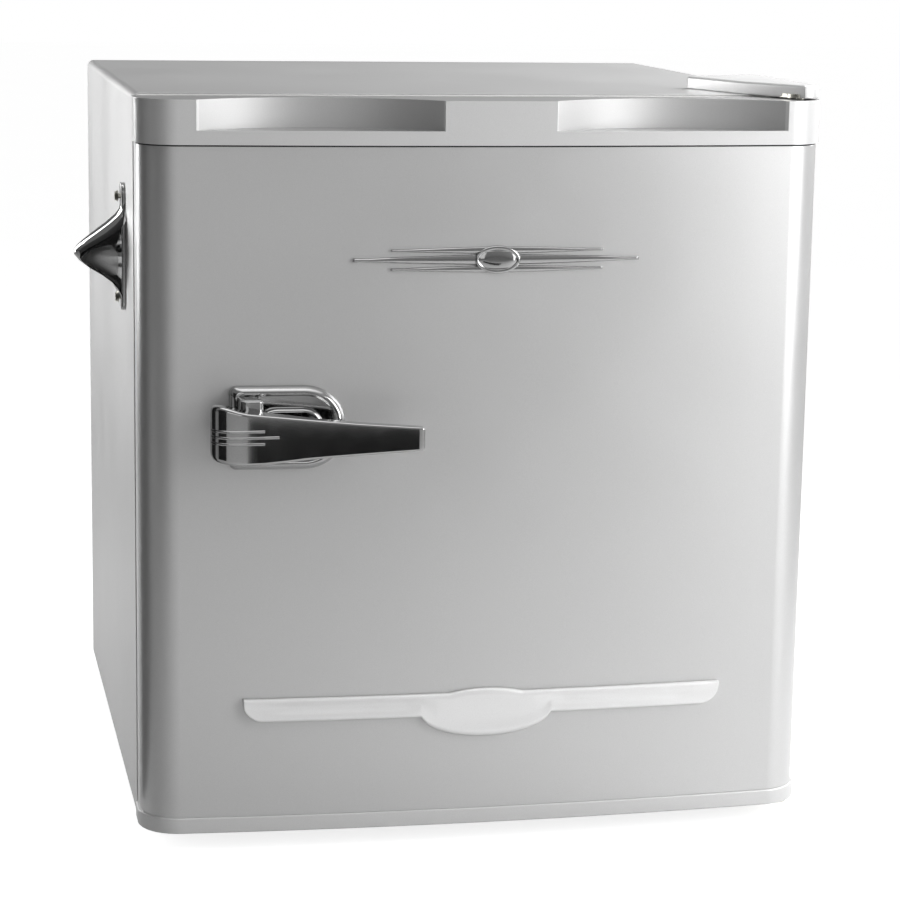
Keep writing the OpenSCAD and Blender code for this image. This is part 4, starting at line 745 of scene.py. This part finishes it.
def world():
    """White to the camera; in reflections a studio that is bright overhead and darker towards the horizon."""
    w = bpy.data.worlds.new("studio")
    bpy.context.scene.world = w
    w.use_nodes = True
    t = w.node_tree
    t.nodes.clear()
    out = t.nodes.new("ShaderNodeOutputWorld")
    mix = t.nodes.new("ShaderNodeMixShader")
    path = t.nodes.new("ShaderNodeLightPath")
    seen, lit = t.nodes.new("ShaderNodeBackground"), t.nodes.new("ShaderNodeBackground")
    seen.inputs["Color"].default_value, seen.inputs["Strength"].default_value = (1, 1, 1, 1), 1.0
    coords, split = t.nodes.new("ShaderNodeTexCoord"), t.nodes.new("ShaderNodeSeparateXYZ")
    ramp = t.nodes.new("ShaderNodeValToRGB")
    stops = ((0.0, 0.30), (0.44, 0.22), (0.50, 0.30), (0.56, 0.62), (0.75, 0.85), (1.0, 1.0))
    while len(ramp.color_ramp.elements) < len(stops):
        ramp.color_ramp.elements.new(0.5)
    for element, (place, v) in zip(ramp.color_ramp.elements, stops):
        element.position, element.color = place, (v, v, v, 1)
    shift = t.nodes.new("ShaderNodeMapRange")
    shift.inputs["From Min"].default_value = -1
    link = t.links.new
    side, both = t.nodes.new("ShaderNodeMapRange"), t.nodes.new("ShaderNodeMath")
    side.interpolation_type = "SMOOTHSTEP"
    for key, value in (("From Min", -0.3), ("From Max", 1.0), ("To Min", 0.0), ("To Max", WORLD_RIGHT)):
        side.inputs[key].default_value = value
    both.operation = "MULTIPLY_ADD"
    both.inputs[1].default_value = WORLD_STRENGTH
    link(coords.outputs["Generated"], split.inputs[0])
    link(split.outputs["X"], side.inputs["Value"])
    link(split.outputs["Z"], shift.inputs["Value"])
    link(shift.outputs["Result"], ramp.inputs["Fac"])
    link(ramp.outputs["Color"], both.inputs[0])
    link(side.outputs["Result"], both.inputs[2])
    link(both.outputs[0], lit.inputs["Strength"])
    link(path.outputs["Is Camera Ray"], mix.inputs["Fac"])
    link(lit.outputs[0], mix.inputs[1])
    link(seen.outputs[0], mix.inputs[2])
    link(mix.outputs[0], out.inputs["Surface"])


def dark_card(name, place, target, width, height):
    """A matt black flag out of the camera's sight that gives round edges and chrome something dark to reflect."""
    n = Nodes(name, Roughness=0.9)
    n.tint(n.ramp(n.noise(5), 0, 1, 0.3, 0.7), grey(0.004), grey(0.008))
    mesh = bpy.data.meshes.new(name)
    w, h = width / 2, height / 2
    mesh.from_pydata([(-w, -h, 0), (w, -h, 0), (w, h, 0), (-w, h, 0)], [], [(0, 1, 2, 3)])
    mesh.materials.append(n.material)
    obj = bpy.data.objects.new(name, mesh)
    bpy.context.scene.collection.objects.link(obj)
    obj.location = place
    obj.rotation_euler = (Vector(target) - Vector(place)).to_track_quat("-Z", "Y").to_euler()
    obj.visible_camera = False


# name, place, target, width, height, spread in degrees, watts
SOFTBOXES = (
    ("key_near", (0.95, -0.85, 0.70), (0.10, -0.25, 0.28), 0.5, 0.9, 180, 9.0),
    ("right_card", (1.30, -1.50, 0.45), (0.15, -0.25, 0.25), 0.9, 1.1, 180, 6.0),
    ("top_right", (0.62, 0.10, 0.80), (0.10, 0.10, 0.48), 0.4, 0.6, 180, 9.0),
    ("overhead", (0.00, -0.60, 2.20), (0.00, -0.90, 0.00), 2.4, 1.6, 90, 5.0),
    ("left_back", (-0.95, 0.75, 0.62), (-0.22, 0.05, 0.42), 0.6, 0.9, 90, 4.0),
    ("front_fill", (-0.60, -2.60, 0.90), (0.00, -0.25, 0.25), 1.4, 1.0, 180, 3.4),
)
WORLD_STRENGTH = 0.30
FLOOR_GLOW = 0.80
WORLD_RIGHT = 0.38


def lights():
    for row in SOFTBOXES:
        softbox(*row)
    dark_card("flag_left", (-0.85, -0.75, 0.30), (-0.22, -0.20, 0.25), 0.6, 0.9)
    dark_card("flag_low", (0.10, -1.15, 0.08), (-0.08, -0.25, 0.28), 0.30, 0.10)
    dark_card("flag_edge", (-0.486, -0.166, 0.40), (-0.486, -1.0, 0.40), 0.52, 0.76)


cabinet_wrapper()
hinge_cover()
bottle_opener()
door_skin()
door_top_cap()
door_bottom_cap()
door_gasket()
handle_base()
handle_lever()
front_badge()
lower_trim()
wire_shelf()
dress_nodes()
camera()
floor()
world()
lights()
